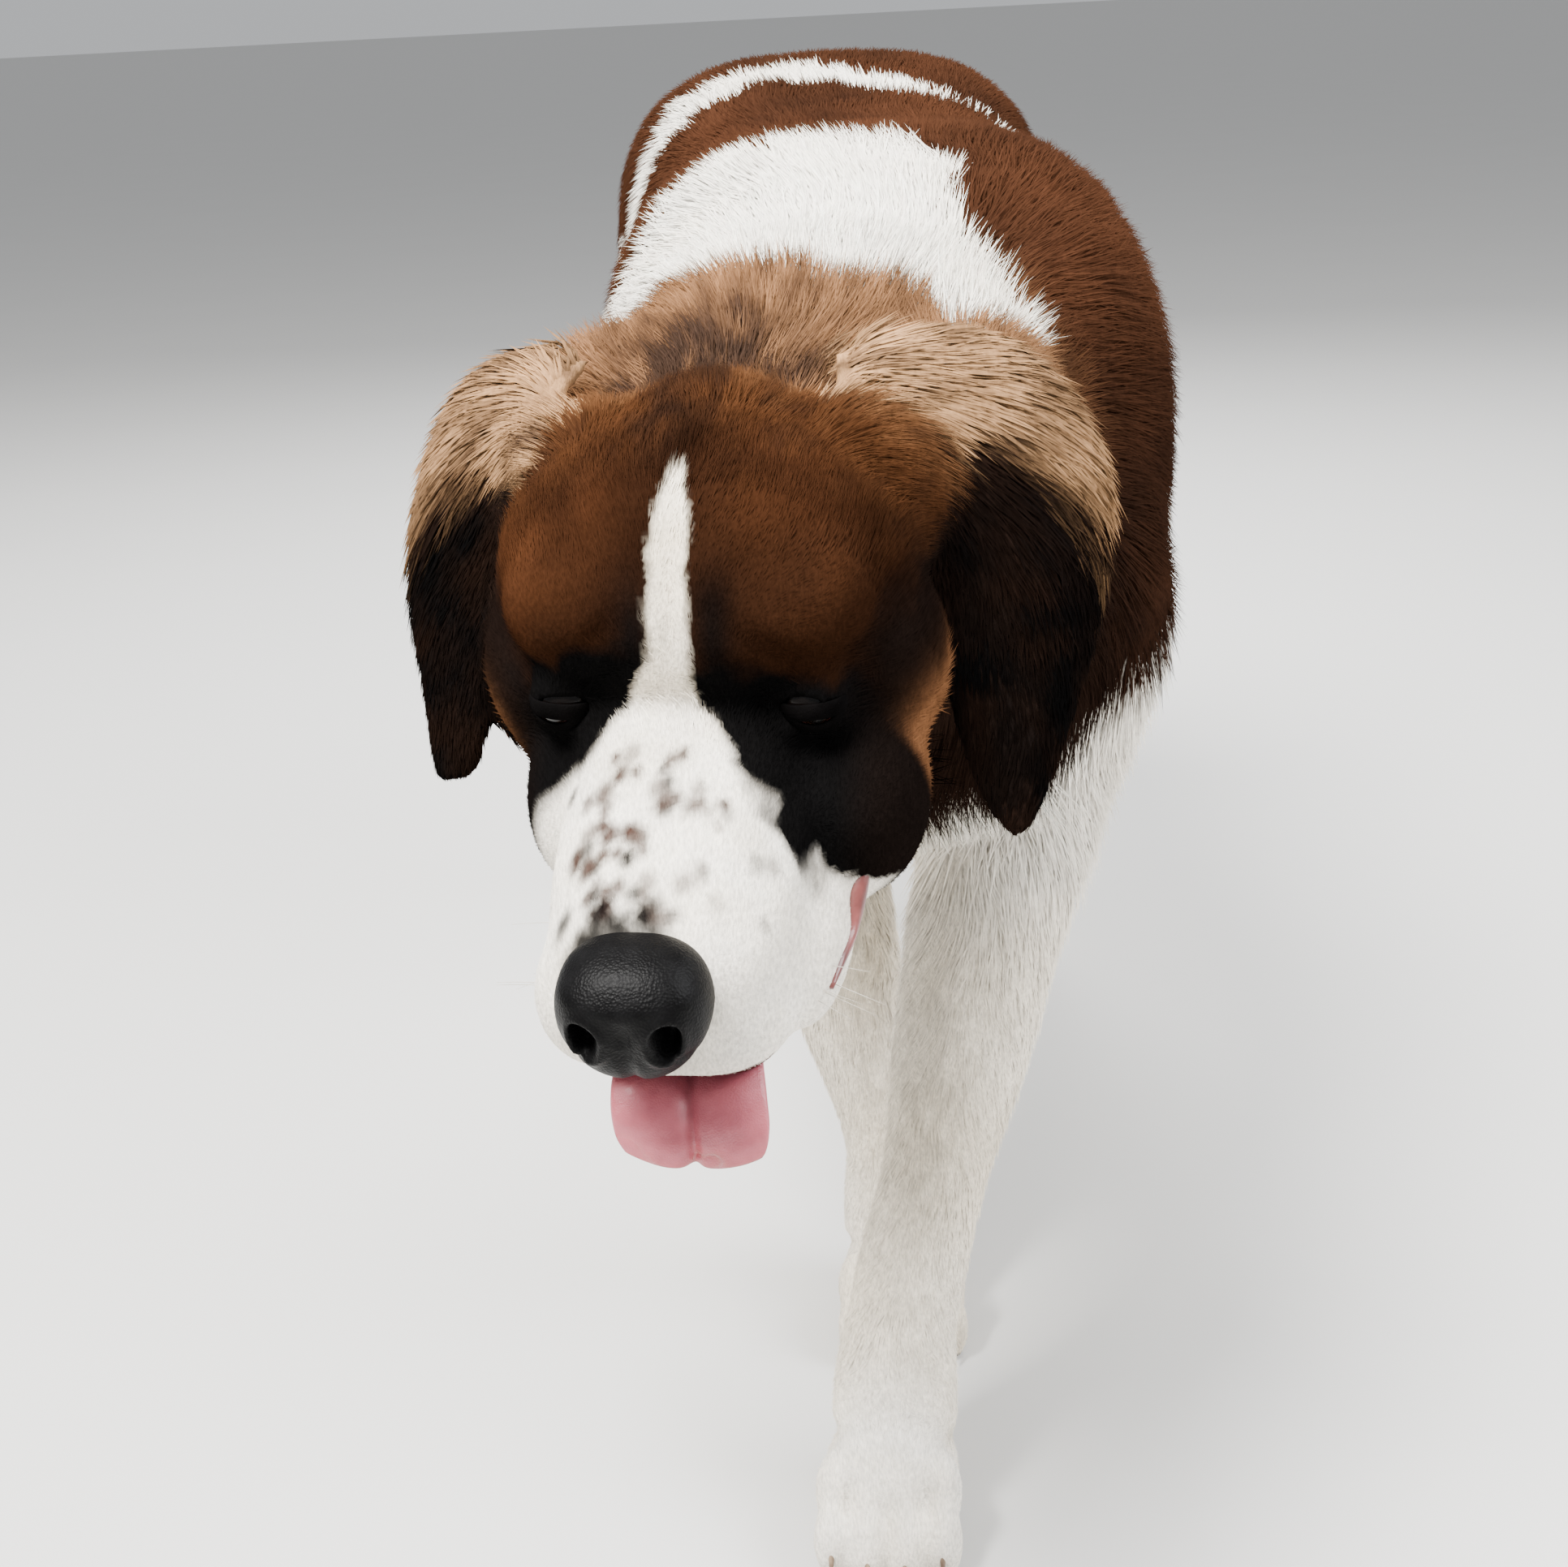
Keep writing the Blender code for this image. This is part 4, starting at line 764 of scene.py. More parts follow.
def bodyMarkings(p):
    x, y, z = p.T
    wobble = (lumps(p, 0.03, 1) - 0.5) * 0.04 + (lumps(p, 0.011, 2) - 0.5) * 0.016
    mottle = lumps(p, 0.022, 4)
    colour = blend(tones["white"], tones["cream"], 0.3 * lumps(p, 0.06, 5)
                   + 0.42 * ease(0.45, 0.25, z) * (0.4 + 0.6 * lumps(p, 0.09, 6)))
    # painted shade: the brown darkens lower on the trunk and low at the front of the shoulder; the mottle term is
    # random tone
    brown = blend(tones["saddle"], tones["umber"], 0.75 * ease(0.7, 0.52, z) + 0.5 * (mottle - 0.5)
                  + 0.5 * ease(-0.2, -0.25, y) * ease(0.56, 0.5, z))
    clouds = lumps(p * np.array((1.6, 0.7, 1.2)), 0.06, 19)
    spine = hill(x, -0.012, 0.06) * ease(0.62, 0.7, z) * ease(0.02, 0.12, y)
    brown = blend(brown, tones["umber"], np.minimum(0.75 * (clouds - 0.35) + 0.45 * spine * mottle, 0.6))
    streak = lumps(p * np.array((2.6, 0.8, 1.6)), 0.02, 17)
    nape = blend(tones["sandy"], tones["grey"],
                 0.1 + 0.8 * hill(x, -0.104, 0.05) * ease(-0.27, -0.34, y) + 1.3 * (streak - 0.4))
    brown = blend(brown, nape, ease(-0.2, -0.27, y + wobble) * ease(0.56, 0.64, z))
    low = np.where(x > -0.02, fromTable(saddleLeft, y), fromTable(saddleRight, y))
    saddle = ease(-0.006, 0.006, z - low + wobble)
    patch = inPolygon(x + wobble * 0.6, y + wobble * 0.5, withersPatch) * (z > 0.6)
    along = y + 0.5 * wobble
    belt = (along > fromTable(beltFront, x)) & (along < fromTable(beltRear, x))
    return blend(colour, brown, saddle * (1 - patch) * (1 - belt))


def scatterSpeckles():  # across, along, size, depth and whether it is black
    rng = np.random.default_rng(21)
    made = []
    for k in range(70):
        y = rng.uniform(-0.119, -0.034)
        x = rng.normal(-0.012, 0.0165)
        made.append((x, y, rng.uniform(0.0024, 0.0042), rng.uniform(0.6, 1.0), rng.random() < 0.14))
    for k in range(9):
        made.append((rng.uniform(0.016, 0.048), rng.uniform(-0.112, -0.062), rng.uniform(0.002, 0.0034),
                     rng.uniform(0.35, 0.7), rng.random() < 0.5))
    for k in range(14):
        made.append((rng.uniform(-0.044, 0.014), rng.uniform(-0.12, -0.106), rng.uniform(0.0024, 0.0038),
                     rng.uniform(0.6, 0.9), True))
    for k in range(16):
        made.append((-0.036 + 0.003 * k + rng.uniform(-0.002, 0.002), rng.uniform(-0.133, -0.119),
                     rng.uniform(0.0032, 0.0056), rng.uniform(0.8, 1.0), True))
    return made


speckles = scatterSpeckles()


def headMarkings(p):
    h = inHead(p)
    x, y, z = h.T
    fine = (lumps(h, 0.006, 7) - 0.5)
    wobble = (lumps(h, 0.014, 8) - 0.5) * 0.012 + fine * 0.006
    mottle = lumps(h, 0.018, 9)
    side = np.abs(x)
    red = blend(tones["red"], tones["redDeep"], 1.1 * (mottle - 0.35) + 0.8 * hill(x, 0, 0.01) * ease(0.07, 0.1, z))
    # painted highlight: the coat on the brow bulges is lit up towards orange-brown
    browHighlight = sum(share * hill(x, mx, wide, z, mz, tall) for share, mx, wide, mz, tall in paintedBrowHighlights)
    red = blend(red, tones["orange"], np.minimum(browHighlight * (0.05 + 1.5 * mottle), 0.92))
    edge = hill(side, 0.017, 0.009) * ease(0.074, 0.04, z) * ease(0.03, 0.01, y)
    red = blend(red, tones["mask"], 0.85 * edge)
    streak = lumps(h * np.array((2.2, 0.9, 1.2)), 0.014, 18)
    dark = np.clip(0.8 * hill(x, -0.011, 0.016) + 1.2 * (streak - 0.42), 0, 1)
    top = blend(blend(tones["tawny"], tones["umber"], 0.9 * dark), blend(tones["crown"], tones["umber"], dark),
                ease(0.115, 0.17, y + wobble * 3 + 0.25 * side))
    red = blend(red, top, ease(0.045, 0.115, y + wobble * 3 + 0.15 * side) * ease(-0.03, 0.04, z))
    line = fromTable(maskTop, side) + 0.01 * (x < 0)
    masked = ease(0.006, -0.004, z - line + wobble) * ease(0.034, 0.014, y + 0.35 * (z + 0.02) + wobble)
    lower = ease(-0.045, -0.07, z + wobble)
    colour = blend(red, tones["umber"], lower)
    colour = blend(colour, tones["mask"], np.maximum(masked, 0.8 * lower * ease(0.075, 0.04, y)))
    darkCheek = ease(0.062, 0.086, side) * ease(0.04, 0.012, z + wobble)
    colour = blend(colour, 0.35 * tones["umber"] + 0.65 * tones["mask"], 0.92 * darkCheek)
    tanSpot = hill(side, 0.103, 0.014, z + 0.4 * wobble, -0.04, 0.018) * ease(0.092, 0.066, y) * ease(0.004, 0.02, y)
    colour = blend(colour, tones["tan"], np.minimum(1.5 * tanSpot, 0.95))
    throat = ease(-0.085, -0.105, z + wobble + 0.15 * (y - 0.03) + 1.1 * np.maximum(x - 0.035, 0))
    colour = blend(colour, tones["white"], throat)
    left, right = fromTable(blazeLeft, z), fromTable(blazeRight, z)
    white = ease(-0.0022, 0.0022, left - x + wobble * 0.3) * ease(-0.0022, 0.0022, x - right + wobble * 0.4)
    white *= ease(0.058, 0.046, y + 1.5 * fine * 0.006) * np.where(z < -0.015, ease(-0.02, -0.035, y), 1.0)
    white = np.maximum(white, ease(0.003, -0.003, y - fromTable(muzzleWhite, x) + wobble * 0.35))
    pale = blend(tones["white"], tones["cream"], 0.3 * mottle + 0.45 * ease(-0.01, 0.02, z))
    for sx, sy, size, depth, dark in speckles:
        spot = (x - sx) ** 2 + (0.66 * (y - sy)) ** 2
        pale = blend(pale, tones["mask"] if dark else tones["speck"],
                     depth * np.exp(-(spot / size ** 2) ** 1.5) * ease(-0.045, -0.03, z))
    under = hill(x, -0.002, 0.02, z, -0.076, 0.01) * (y < -0.115)
    pale = blend(pale, tones["mask"], 0.55 * under)
    return blend(colour, pale, white)


def earMarkings(p, u, v):
    mottle = lumps(p, 0.014, 15)
    dark = blend(tones["mask"], tones["umber"], 1.2 * mottle - 0.2)
    sandy = blend(tones["flax"], tones["grey"], 1.2 * mottle - 0.3 + 0.4 * ease(0.4, 0.1, u))
    return blend(sandy, dark, ease(-0.06, 0.1, v - 0.5 * u + 0.16 * (mottle - 0.5)))


# guides: places along the ears and the tail with the way their hair lies there


def earGuides():
    for ear in ears.values():
        for i in range(31):
            for j in range(21):
                u, v = j / 20, i / 30 * 0.985
                spot, outward, down, over = earSurface(ear, u, v)
                yield spot, direction(down + 0.5 * u * (1 - v) * over), outward, u, v


def guideTree(spots):
    tree = KDTree(len(spots))
    for i, spot in enumerate(spots):
        tree.insert(spot, i)
    tree.balance()
    return tree


earSpots, earLie, earOut, earU, earV = (np.array(part) for part in zip(*earGuides()))
tailSpots = np.array(spline(tailStations, 4))[:, :3]
tailLie = unit(np.gradient(tailSpots, axis=0))
earTree, tailTree = guideTree(earSpots), guideTree(tailSpots)


def nearestGuides(tree, p):
    found = [tree.find(row) for row in p.tolist()]
    return np.array([f[1] for f in found]), np.array([f[2] for f in found])


neckPlane = (np.array((-0.088, -0.388, 0.6)), np.array((0.26, 0.95, 0.1)) / 0.99)


def behindHead(p):  # metres behind the plane where the neck begins
    return (p - neckPlane[0]) @ neckPlane[1]


def earShare(p):  # 1 on an ear, 0 off it, with the guide found
    index, distance = nearestGuides(earTree, p)
    return distance < 0.0085, index


def markings(p):  # linear colour of the coat at layout places
    colour = blend(headMarkings(p), bodyMarkings(p), ease(-0.02, 0.02, behindHead(p)))
    onEar, index = earShare(p)
    if onEar.any():
        picked = index[onEar]
        colour[onEar] = earMarkings(p[onEar], earU[picked], earV[picked])
    return colour


# the way the coat lies, how long it is and how far it stands off


def lieOfCoat(p, region):
    x, y, z = p.T
    body = columns(0.4 * x, 1, -0.12 - 0.55 * np.clip(np.abs(x) / 0.17, 0, 1))
    chest = ease(-0.16, -0.22, y) * ease(0.58, 0.5, z)
    flow = blend(body, np.array((0, 0.18, -1)), np.maximum(ease(0.47, 0.36, z), chest))
    hx, hy, hz = inHead(p).T
    face = columns(4.0 * hx * ease(0.02, 0.06, hz) + 1.5 * hx, 1,
                   0.3 * ease(0.0, 0.05, hz) - 0.75 * ease(-0.01, -0.07, hz))
    muzzle = columns(3.0 * hx, 1, -0.9 * ease(0.0, -0.07, hz) + 0.05)
    face = blend(face, muzzle, ease(-0.02, -0.05, hy))
    outer = ease(0.045, 0.08, np.abs(hx)) * ease(0.05, 0.1, hy) * ease(0.0, 0.03, hz)
    face = blend(face, columns(1.6 * np.sign(hx), 0.55, -0.9), outer)
    flow = blend(face @ headOut.T, flow, ease(-0.03, 0.03, behindHead(p)))
    if region == "ears":
        flow = earLie[nearestGuides(earTree, p)[0]]
    if region == "tail":
        flow = tailLie[nearestGuides(tailTree, p)[0]]
    sway = np.column_stack([lumps(p, 0.035, 20 + k) - 0.5 for k in range(3)])
    return unit(unit(flow) + 0.75 * sway)


def coatLength(p):
    x, y, z = p.T
    hx, hy, hz = inHead(p).T
    length = 0.03 + 0.014 * ease(0.02, -0.12, y) + 0.014 * ease(0.58, 0.68, z) * hill(y, -0.14, 0.1)
    length = length + 0.016 * ease(0.42, 0.36, z) * (y > -0.2) * (y < 0.42) * (z > 0.3)
    length = length + 0.022 * ease(0.52, 0.62, y) * ease(0.3, 0.38, z)
    length = length + 0.024 * ease(0.58, 0.49, z) * ease(-0.14, -0.22, y) * ease(0.36, 0.42, z)
    leg = ease(0.4, 0.28, z)
    length = length * (1 - leg) + leg * (0.01 + 0.01 * ease(0.12, 0.28, z))
    length = np.where(z < 0.07, 0.0075, length)
    face = 0.0062 + 0.006 * ease(-0.03, 0.05, hy) + 0.022 * ease(0.03, 0.14, hy)
    face = face + 0.018 * ease(-0.01, -0.05, hz) * ease(0.015, 0.05, hy)
    face = face - 0.003 * ease(-0.02, -0.06, hy)
    return face + (length - face) * ease(-0.03, 0.05, behindHead(p))


print("markings and lie ready")

# coat: many thin closed tufts, each with its root in the skin

coatPieces = {  # tufts, rings of each, width, share of the length it stands off,
    "face": (47000, 1, 0.001, 0.13, 0.8, 0.5, "white_coat"),  # softness, play of tint, slot
    "crown": (44000, 1, 0.0012, 0.15, 0.7, 0.8, "red_coat"),
    "ears": (18500, 2, 0.0013, 0.12, 0.6, 0.9, "dark_coat"),
    "neck": (47000, 1, 0.0013, 0.22, 0.6, 1.0, "white_coat"),
    "shoulders": (47000, 1, 0.0016, 0.15, 0.8, 0.6, "white_coat"),
    "flanks": (36000, 1, 0.0018, 0.14, 0.75, 0.8, "red_coat"),
    "rump": (32000, 1, 0.0018, 0.14, 0.75, 0.8, "red_coat"),
    "forelegs": (38000, 1, 0.0013, 0.13, 0.85, 0.4, "white_coat"),
    "hindlegs": (27000, 1, 0.0016, 0.15, 0.8, 0.5, "white_coat"),
    "tail": (3000, 3, 0.0034, 0.2, 0.6, 1.0, "red_coat"),
}


def regionOf(p):  # the coat piece that each place belongs to
    x, y, z = p.T
    hy = inHead(p)[:, 1]
    named = np.full(len(p), "flanks", dtype=object)
    named[y < 0.06] = "shoulders"
    named[y > 0.36] = "rump"
    named[(z < 0.365) & (y < 0.12)] = "forelegs"
    named[(z < 0.5) & (y > 0.28)] = "hindlegs"
    behind = behindHead(p)
    named[(behind < 0.165) & (z > 0.4) & (y < -0.14)] = "neck"
    onHead = (behind < 0.0) & (z > 0.33)
    named[onHead & (hy >= 0.035)] = "crown"
    named[onHead & (hy < 0.035)] = "face"
    onEar, _ = earShare(p)
    named[onEar & (z > 0.4)] = "ears"
    near = (y > 0.6) & (z > 0.25)
    if near.any():
        index, distance = nearestGuides(tailTree, p[near])
        spots = np.where(near)[0]
        named[spots[distance < 0.035]] = "tail"
    return named


def meshArrays(mesh):
    mesh.calc_loop_triangles()
    return (readRows(mesh.vertices, "co", 3), readRows(mesh.vertices, "normal", 3),
            readRows(mesh.loop_triangles, "vertices", 3, np.int32), readRows(mesh.loop_triangles, "loops", 3, np.int32))


def paintVertices(mesh, name, colours):
    layer = mesh.color_attributes.new(name, "FLOAT_COLOR", "POINT")
    rows = np.ones((len(mesh.vertices), 4))
    rows[:, :3] = colours
    layer.data.foreach_set("color", rows.ravel())


skinCo, skinNormal, skinCorners, _ = meshArrays(skin.data)
skinTree = BVHTree.FromPolygons(skinCo.tolist(), [tuple(p.vertices) for p in skin.data.polygons])
faceRegion = regionOf(inLayout(skinCo[skinCorners].mean(axis=1)))
print("regions", {name: int((faceRegion == name).sum()) for name in coatPieces})


def insideMouth(p, normals):
    x, y, z = inHead(p).T
    between = (np.abs(x - flewSwing) < 0.0365) & (z < -0.0885) & (y > -0.16) & (y < 0.006)
    return between & ((z > -0.108) | (((normals @ headOut)[:, 2] > 0.35) & (z > -0.13)))


def nearEye(p, lift=0.0005, reach=0.0145):
    x, y, z = inHead(p).T
    eye = np.column_stack((np.abs(x) - headPose["eyeOut"], (y + 0.012) * 0.6, (z + lift) * 1.5))
    return np.linalg.norm(eye, axis=1) < reach


def nearLip(p):
    h = inHead(p)
    rows = [station[:3] for station in lipShape["stations"]]
    return np.min([capsule(h, a, b) for a, b in zip(rows, rows[1:])], axis=0) < lipShape["clear"]


def underNose(p):
    nose = (inHead(p) - np.array(noseShape["at"])) / (np.array(noseShape["size"]) + 0.0008)
    return np.linalg.norm(nose, axis=1) < 1.0


def regionMesh(name):  # the skin's faces of one region, unwrapped by themselves
    chosen = np.where(faceRegion == name)[0]
    mesh = bpy.data.meshes.new("patch")
    used, back = np.unique(skinCorners[chosen].ravel(), return_inverse=True)
    mesh.from_pydata(skinCo[used].tolist(), [], back.reshape(-1, 3).tolist())
    made = addObject("patch", mesh)
    mesh.uv_layers.new(name="OFBake")
    bpy.context.view_layer.objects.active = made
    for other in bpy.context.selected_objects:
        other.select_set(False)
    made.select_set(True)
    bpy.ops.object.mode_set(mode="EDIT")
    bpy.ops.mesh.select_all(action="SELECT")
    bpy.ops.uv.smart_project(angle_limit=math.radians(66), island_margin=0.004)
    bpy.ops.object.mode_set(mode="OBJECT")
    return made, skinNormal[used]


def sampleRegion(name, count, rng):
    made, normals = regionMesh(name)
    co, _, corners, loops = meshArrays(made.data)
    uv = readRows(made.data.uv_layers["OFBake"].data, "uv", 2)
    a, b, c = (co[corners[:, k]] for k in range(3))
    area = np.linalg.norm(np.cross(b - a, c - a), axis=1)
    middle = inLayout((a + b + c) / 3)
    need = area / coatLength(middle) ** 0.8
    picks = rng.choice(len(area), size=count, p=need / need.sum())
    s, t = rng.random(count), rng.random(count)
    flip = s + t > 1
    s[flip], t[flip] = 1 - s[flip], 1 - t[flip]
    weights = np.column_stack((1 - s - t, s, t))[:, :, None]
    roots = (co[corners[picks]] * weights).sum(axis=1)
    normal = unit((normals[corners[picks]] * weights).sum(axis=1))
    spot = (uv[loops[picks]] * weights).sum(axis=1)
    bpy.data.objects.remove(made, do_unlink=True)
    at = inLayout(roots)
    keep = ~(insideMouth(at, normal) | nearEye(at) | underNose(at) | nearLip(at))
    keep &= (roots[:, 2] > 0.004)
    return roots[keep], normal[keep], spot[keep]


def onSkin(points):  # nearest place on the skin and the way out of it
    found = [skinTree.find_nearest(row) for row in points.tolist()]
    return np.array([f[0] for f in found]), np.array([f[1] for f in found])


def softNormals(vertices, normal, share):  # shading that leans to the skin's own, as soft fur does
    middle = vertices.mean(axis=1, keepdims=True)
    own = vertices - middle
    own /= np.maximum(np.linalg.norm(own, axis=2, keepdims=True), 1e-9)
    mixed = normal[:, None, :] * share + own * (1 - share)
    return unit(mixed.reshape(-1, 3))


def makeCoat(name, seed):
    count, rings, thick, stand, soft, calm, _ = coatPieces[name]
    rng = np.random.default_rng(seed)
    roots, normal, spot = sampleRegion(name, count, rng)
    count = len(roots)
    layout = inLayout(roots)
    length = coatLength(layout)
    free = np.zeros(count)
    if name == "ears":
        index, _ = nearestGuides(earTree, layout)
        u, v = earU[index], earV[index]
        outer = (normal * earOut[index]).sum(axis=1) > 0.1
        length = np.where(outer, 0.014 + 0.026 * ease(0.15, 0.7, u) * ease(0.75, 0.35, v), 0.01)
        length *= 1 - 0.35 * ease(0.8, 1.0, v)
        free = np.where(outer, 0.2 + 0.3 * u * ease(0.85, 0.5, v), 0.1)
    if name == "tail":
        length, free = np.full(count, 0.085), np.full(count, 0.45)
    if name in ("hindlegs", "rump", "forelegs"):
        free = free + 0.35 * ease(0.3, 0.8, normal[:, 1])
    length = length * rng.uniform(0.75, 1.2, count)
    lie = lieOfCoat(layout, name)
    lie = unit(lie + rng.normal(0, 0.1, (count, 3)))
    lie = unit(lie - normal * (lie * normal).sum(axis=1)[:, None] * (1 - free * 0.6)[:, None])
    ahead = 0 if name in ("ears", "tail") else 0.6  # a tuft takes the colour of where it ends
    base = markings(layout + lie * (ahead * length)[:, None])
    if name == "tail":
        base = blend(base, tones["umber"], 0.5 * lumps(layout, 0.05, 31))
    lift = stand * length * rng.uniform(0.6, 1.35, count)
    width = thick * rng.uniform(0.75, 1.3, count) * (0.55 + 0.45 * length / length.mean())
    out, at = normal.copy(), roots.copy()
    phase = rng.uniform(0, math.tau, count)
    wave = 0.035 * length * (name in ("ears", "neck", "tail")) + 0.015 * length
    levels = []
    for k in range(rings + 1):
        t = k / rings
        side = unit(np.cross(lie, out))
        height = lift * t ** 1.15 - 0.0012 * (1 - t)
        bend = (wave * np.sin(phase + 3.4 * t))[:, None] * t
        centre = at + out * height[:, None] + side * bend
        shape = 0.85 + 0.75 * t - 1.2 * t * t
        half = (width / 2 * shape)[:, None]
        if k < rings:
            levels.append(np.stack((centre - side * half, centre + side * half,
                                    centre + out * half * 0.75), axis=1))
            ahead = at + lie * (length / rings)[:, None]
            near, found = onSkin(ahead)
            at = near + (ahead - near) * free[:, None]
            out = unit(blend(found, out, free))
            lie = unit(lie - out * (lie * out).sum(axis=1)[:, None] * (1 - free * 0.6)[:, None])
            lie[:, 2] -= 0.1 * free
            lie = unit(lie)
    vertices = np.concatenate([*levels, centre[:, None, :]], axis=1)
    each = 3 * rings + 1
    vertices[:, :, 2] = np.maximum(vertices[:, :, 2], 0.0006)
    faces = [(0, 1, 2)]
    for k in range(rings - 1):
        low, high = 3 * k, 3 * k + 3
        for a in range(3):
            b = (a + 1) % 3
            faces += [(low + a, high + b, low + b), (low + a, high + a, high + b)]
    last = 3 * (rings - 1)
    faces += [(last + (a + 1) % 3, last + a, 3 * rings) for a in range(3)]
    faces = np.array(faces)
    corners = (faces[None, :, :] + (np.arange(count) * each)[:, None, None]).reshape(-1, 3)
    mesh = bpy.data.meshes.new("coat" + name.capitalize())
    mesh.vertices.add(count * each)
    mesh.vertices.foreach_set("co", vertices.ravel())
    mesh.loops.add(len(corners) * 3)
    mesh.loops.foreach_set("vertex_index", corners.ravel())
    mesh.polygons.add(len(corners))
    mesh.polygons.foreach_set("loop_start", np.arange(len(corners)) * 3)
    mesh.update(calc_edges=True)
    mesh.polygons.foreach_set("use_smooth", np.ones(len(corners), bool))
    mesh.normals_split_custom_set_from_vertices(softNormals(vertices, normal, soft))
    tint = base * rng.uniform(1 - 0.22 * calm, 1 + 0.2 * calm, count)[:, None]
    level = np.array([k / rings for k in range(rings) for _ in range(3)] + [1.0])
    # painted shade and light: each tuft is darker at its root and lighter at its tip
    colour = tint[:, None, :] * (0.86 + 0.18 * level)[None, :, None]
    paintVertices(mesh, "coatTint", np.clip(colour.reshape(-1, 3), 0, 1))
    along = mesh.attributes.new("alongHair", "FLOAT", "POINT")
    along.data.foreach_set("value", np.tile(level, count))
    patch = mesh.uv_layers.new(name="OFBake")
    around = np.array([0.0, 1.0, 0.5] * rings + [0.5])
    offset = np.column_stack((around - 0.5, level - 0.5)) * 0.003
    uv = spot[:, None, :] + offset[None, :, :]
    patch.data.foreach_set("uv", uv.reshape(-1, 2)[corners.ravel()].ravel())
    print("coat", name, count, "tufts", len(corners), "triangles")
    return addObject(mesh.name, mesh)


# materials


def hairGrain():  # fine streaks and flecks shared by skin and coat
    group = bpy.data.node_groups.new("hairGrain", "ShaderNodeTree")
    for way, kind, name in (("INPUT", "Color", "Coat Colour"), ("INPUT", "Float", "Grain Scale"),
                            ("INPUT", "Float", "Grain Depth"), ("OUTPUT", "Color", "Colour"),
                            ("OUTPUT", "Float", "Height"), ("OUTPUT", "Float", "Roughness")):
        group.interface.new_socket(name, in_out=way, socket_type="NodeSocket" + kind)
    given = addNode(group, "NodeGroupInput").outputs
    coords = addNode(group, "TexCoord", "Object")
    stretched = addNode(group, "Mapping", "Vector", {"Vector": coords, "Scale": (1.0, 0.18, 0.45)})
    noise = addNode(group, "TexNoise", "Fac", {"Vector": stretched, "Scale": given["Grain Scale"], "Detail": 3.0})
    broad = addNode(group, "TexNoise", "Fac", {"Vector": coords, "Scale": 34.0})
    broad = addNode(group, "MapRange", "Result", {"Value": broad, "From Min": 0.25, "From Max": 0.75,
                                                  "To Min": 0.78, "To Max": 1.2})
    both = addNode(group, "Math", "Value", {0: noise, 1: broad}, operation="MULTIPLY")
    deep = addNode(group, "Math", "Value", {0: 1.0, 1: given["Grain Depth"]}, operation="SUBTRACT")
    shade = addNode(group, "MapRange", "Result", {"Value": both, "From Min": 0.3, "From Max": 0.7,
                                                  "To Min": deep, "To Max": 1.12})
    colour = addNode(group, "Mix", "Result", {"Factor": 1.0, "A": given["Coat Colour"], "B": shade},
                     data_type="RGBA", blend_type="MULTIPLY")
    rough = addNode(group, "MapRange", "Result", {"Value": noise, "To Min": 0.58, "To Max": 0.82})
    addNode(group, "NodeGroupOutput", "", {"Colour": colour, "Height": noise, "Roughness": rough})
    return group


grainGroup = hairGrain()


def furMaterial(name, scale, depth, bumpStrength):
    made, tree, shader = newMaterial(name, {"Specular IOR Level": 0.0})
    tint = addNode(tree, "Attribute", "Color", attribute_name="coatTint")
    grain = addNode(tree, "Group", "", {"Coat Colour": tint, "Grain Scale": scale, "Grain Depth": depth},
                    node_tree=grainGroup).outputs
    bump = addNode(tree, "Bump", "Normal", {"Height": grain["Height"], "Strength": bumpStrength, "Distance": 0.0012})
    feed(tree, shader, {"Base Color": grain["Colour"], "Roughness": grain["Roughness"], "Normal": bump})
    return made


furFinish = {  # the grain's scale and depth, and the bump
    "skinUnderCoat": (900.0, 0.3, 0.6),
    "coatHair": (420.0, 0.18, 0.15),
}
skinLook, coatLook = (furMaterial(name, *finish) for name, finish in furFinish.items())


def colourSkin():
    layout = inLayout(skinCo)
    # painted shade: the skin is a little darker than the coat's own colour, so the gaps between tufts look shaded
    colour = markings(layout) * 0.93
    colour[(layout[:, 2] < 0.006) & (skinNormal[:, 2] < -0.5)] = tones["pad"]
    colour[insideMouth(layout, skinNormal)] = tones["mouth"]
    colour[nearEye(layout, 0, 0.015)] = tones["mask"]
    paintVertices(skin.data, "coatTint", colour)
    skin.data.materials.clear()
    skin.data.materials.append(skinLook)


colourSkin()
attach(skin, "root")
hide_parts(*fleshNodes)
print("skin coloured")

for seed, name in enumerate(coatPieces):
    piece = makeCoat(name, 100 + seed)
    piece.data.materials.append(coatLook)
    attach(piece, "root")
print("coat laid")

# small pieces: nose, eyes, lids, tongue, lip, claws and whiskers

noseShape.update({
    "segments": 84,
    "rings": 64,
    "nostrilSize": (0.165, 0.19),
    "nostrilDepth": 0.55,
})
tongueShape = {
    "path": ((0.004, -0.03, -0.0985, 0.025), (0.005, -0.08, -0.098, 0.028), (0.008, -0.115, -0.097, 0.031),
             (0.01, -0.134, -0.0985, 0.033), (0.012, -0.146, -0.105, 0.033), (0.013, -0.1515, -0.1115, 0.03),
             (0.0135, -0.154, -0.1165, 0.025)),
    "thick": 0.007,
    "rows": 46,
    "columns": 28,
}
eyeShape = {
    "radius": 0.0131,
    "lid": (0.0084, 0.003, 0.004),  # half width, and how far the lids open above and below
    "lidBand": (0.004, 0.0012),
    "haw": ((192, 348), 0.9, 0.0002, 0.0013, 0.0007),  # degrees it spans, scale, stand, half width, thickness
    "corner": ((-31.5, 31.5), 0.86, 0.0002, 0.0014, 0.0008),
}
clawShape = {"length": 0.018, "radius": 0.0044, "height": 0.0225}
whiskerShape = {"count": 5, "length": 0.024, "radius": 0.00022}


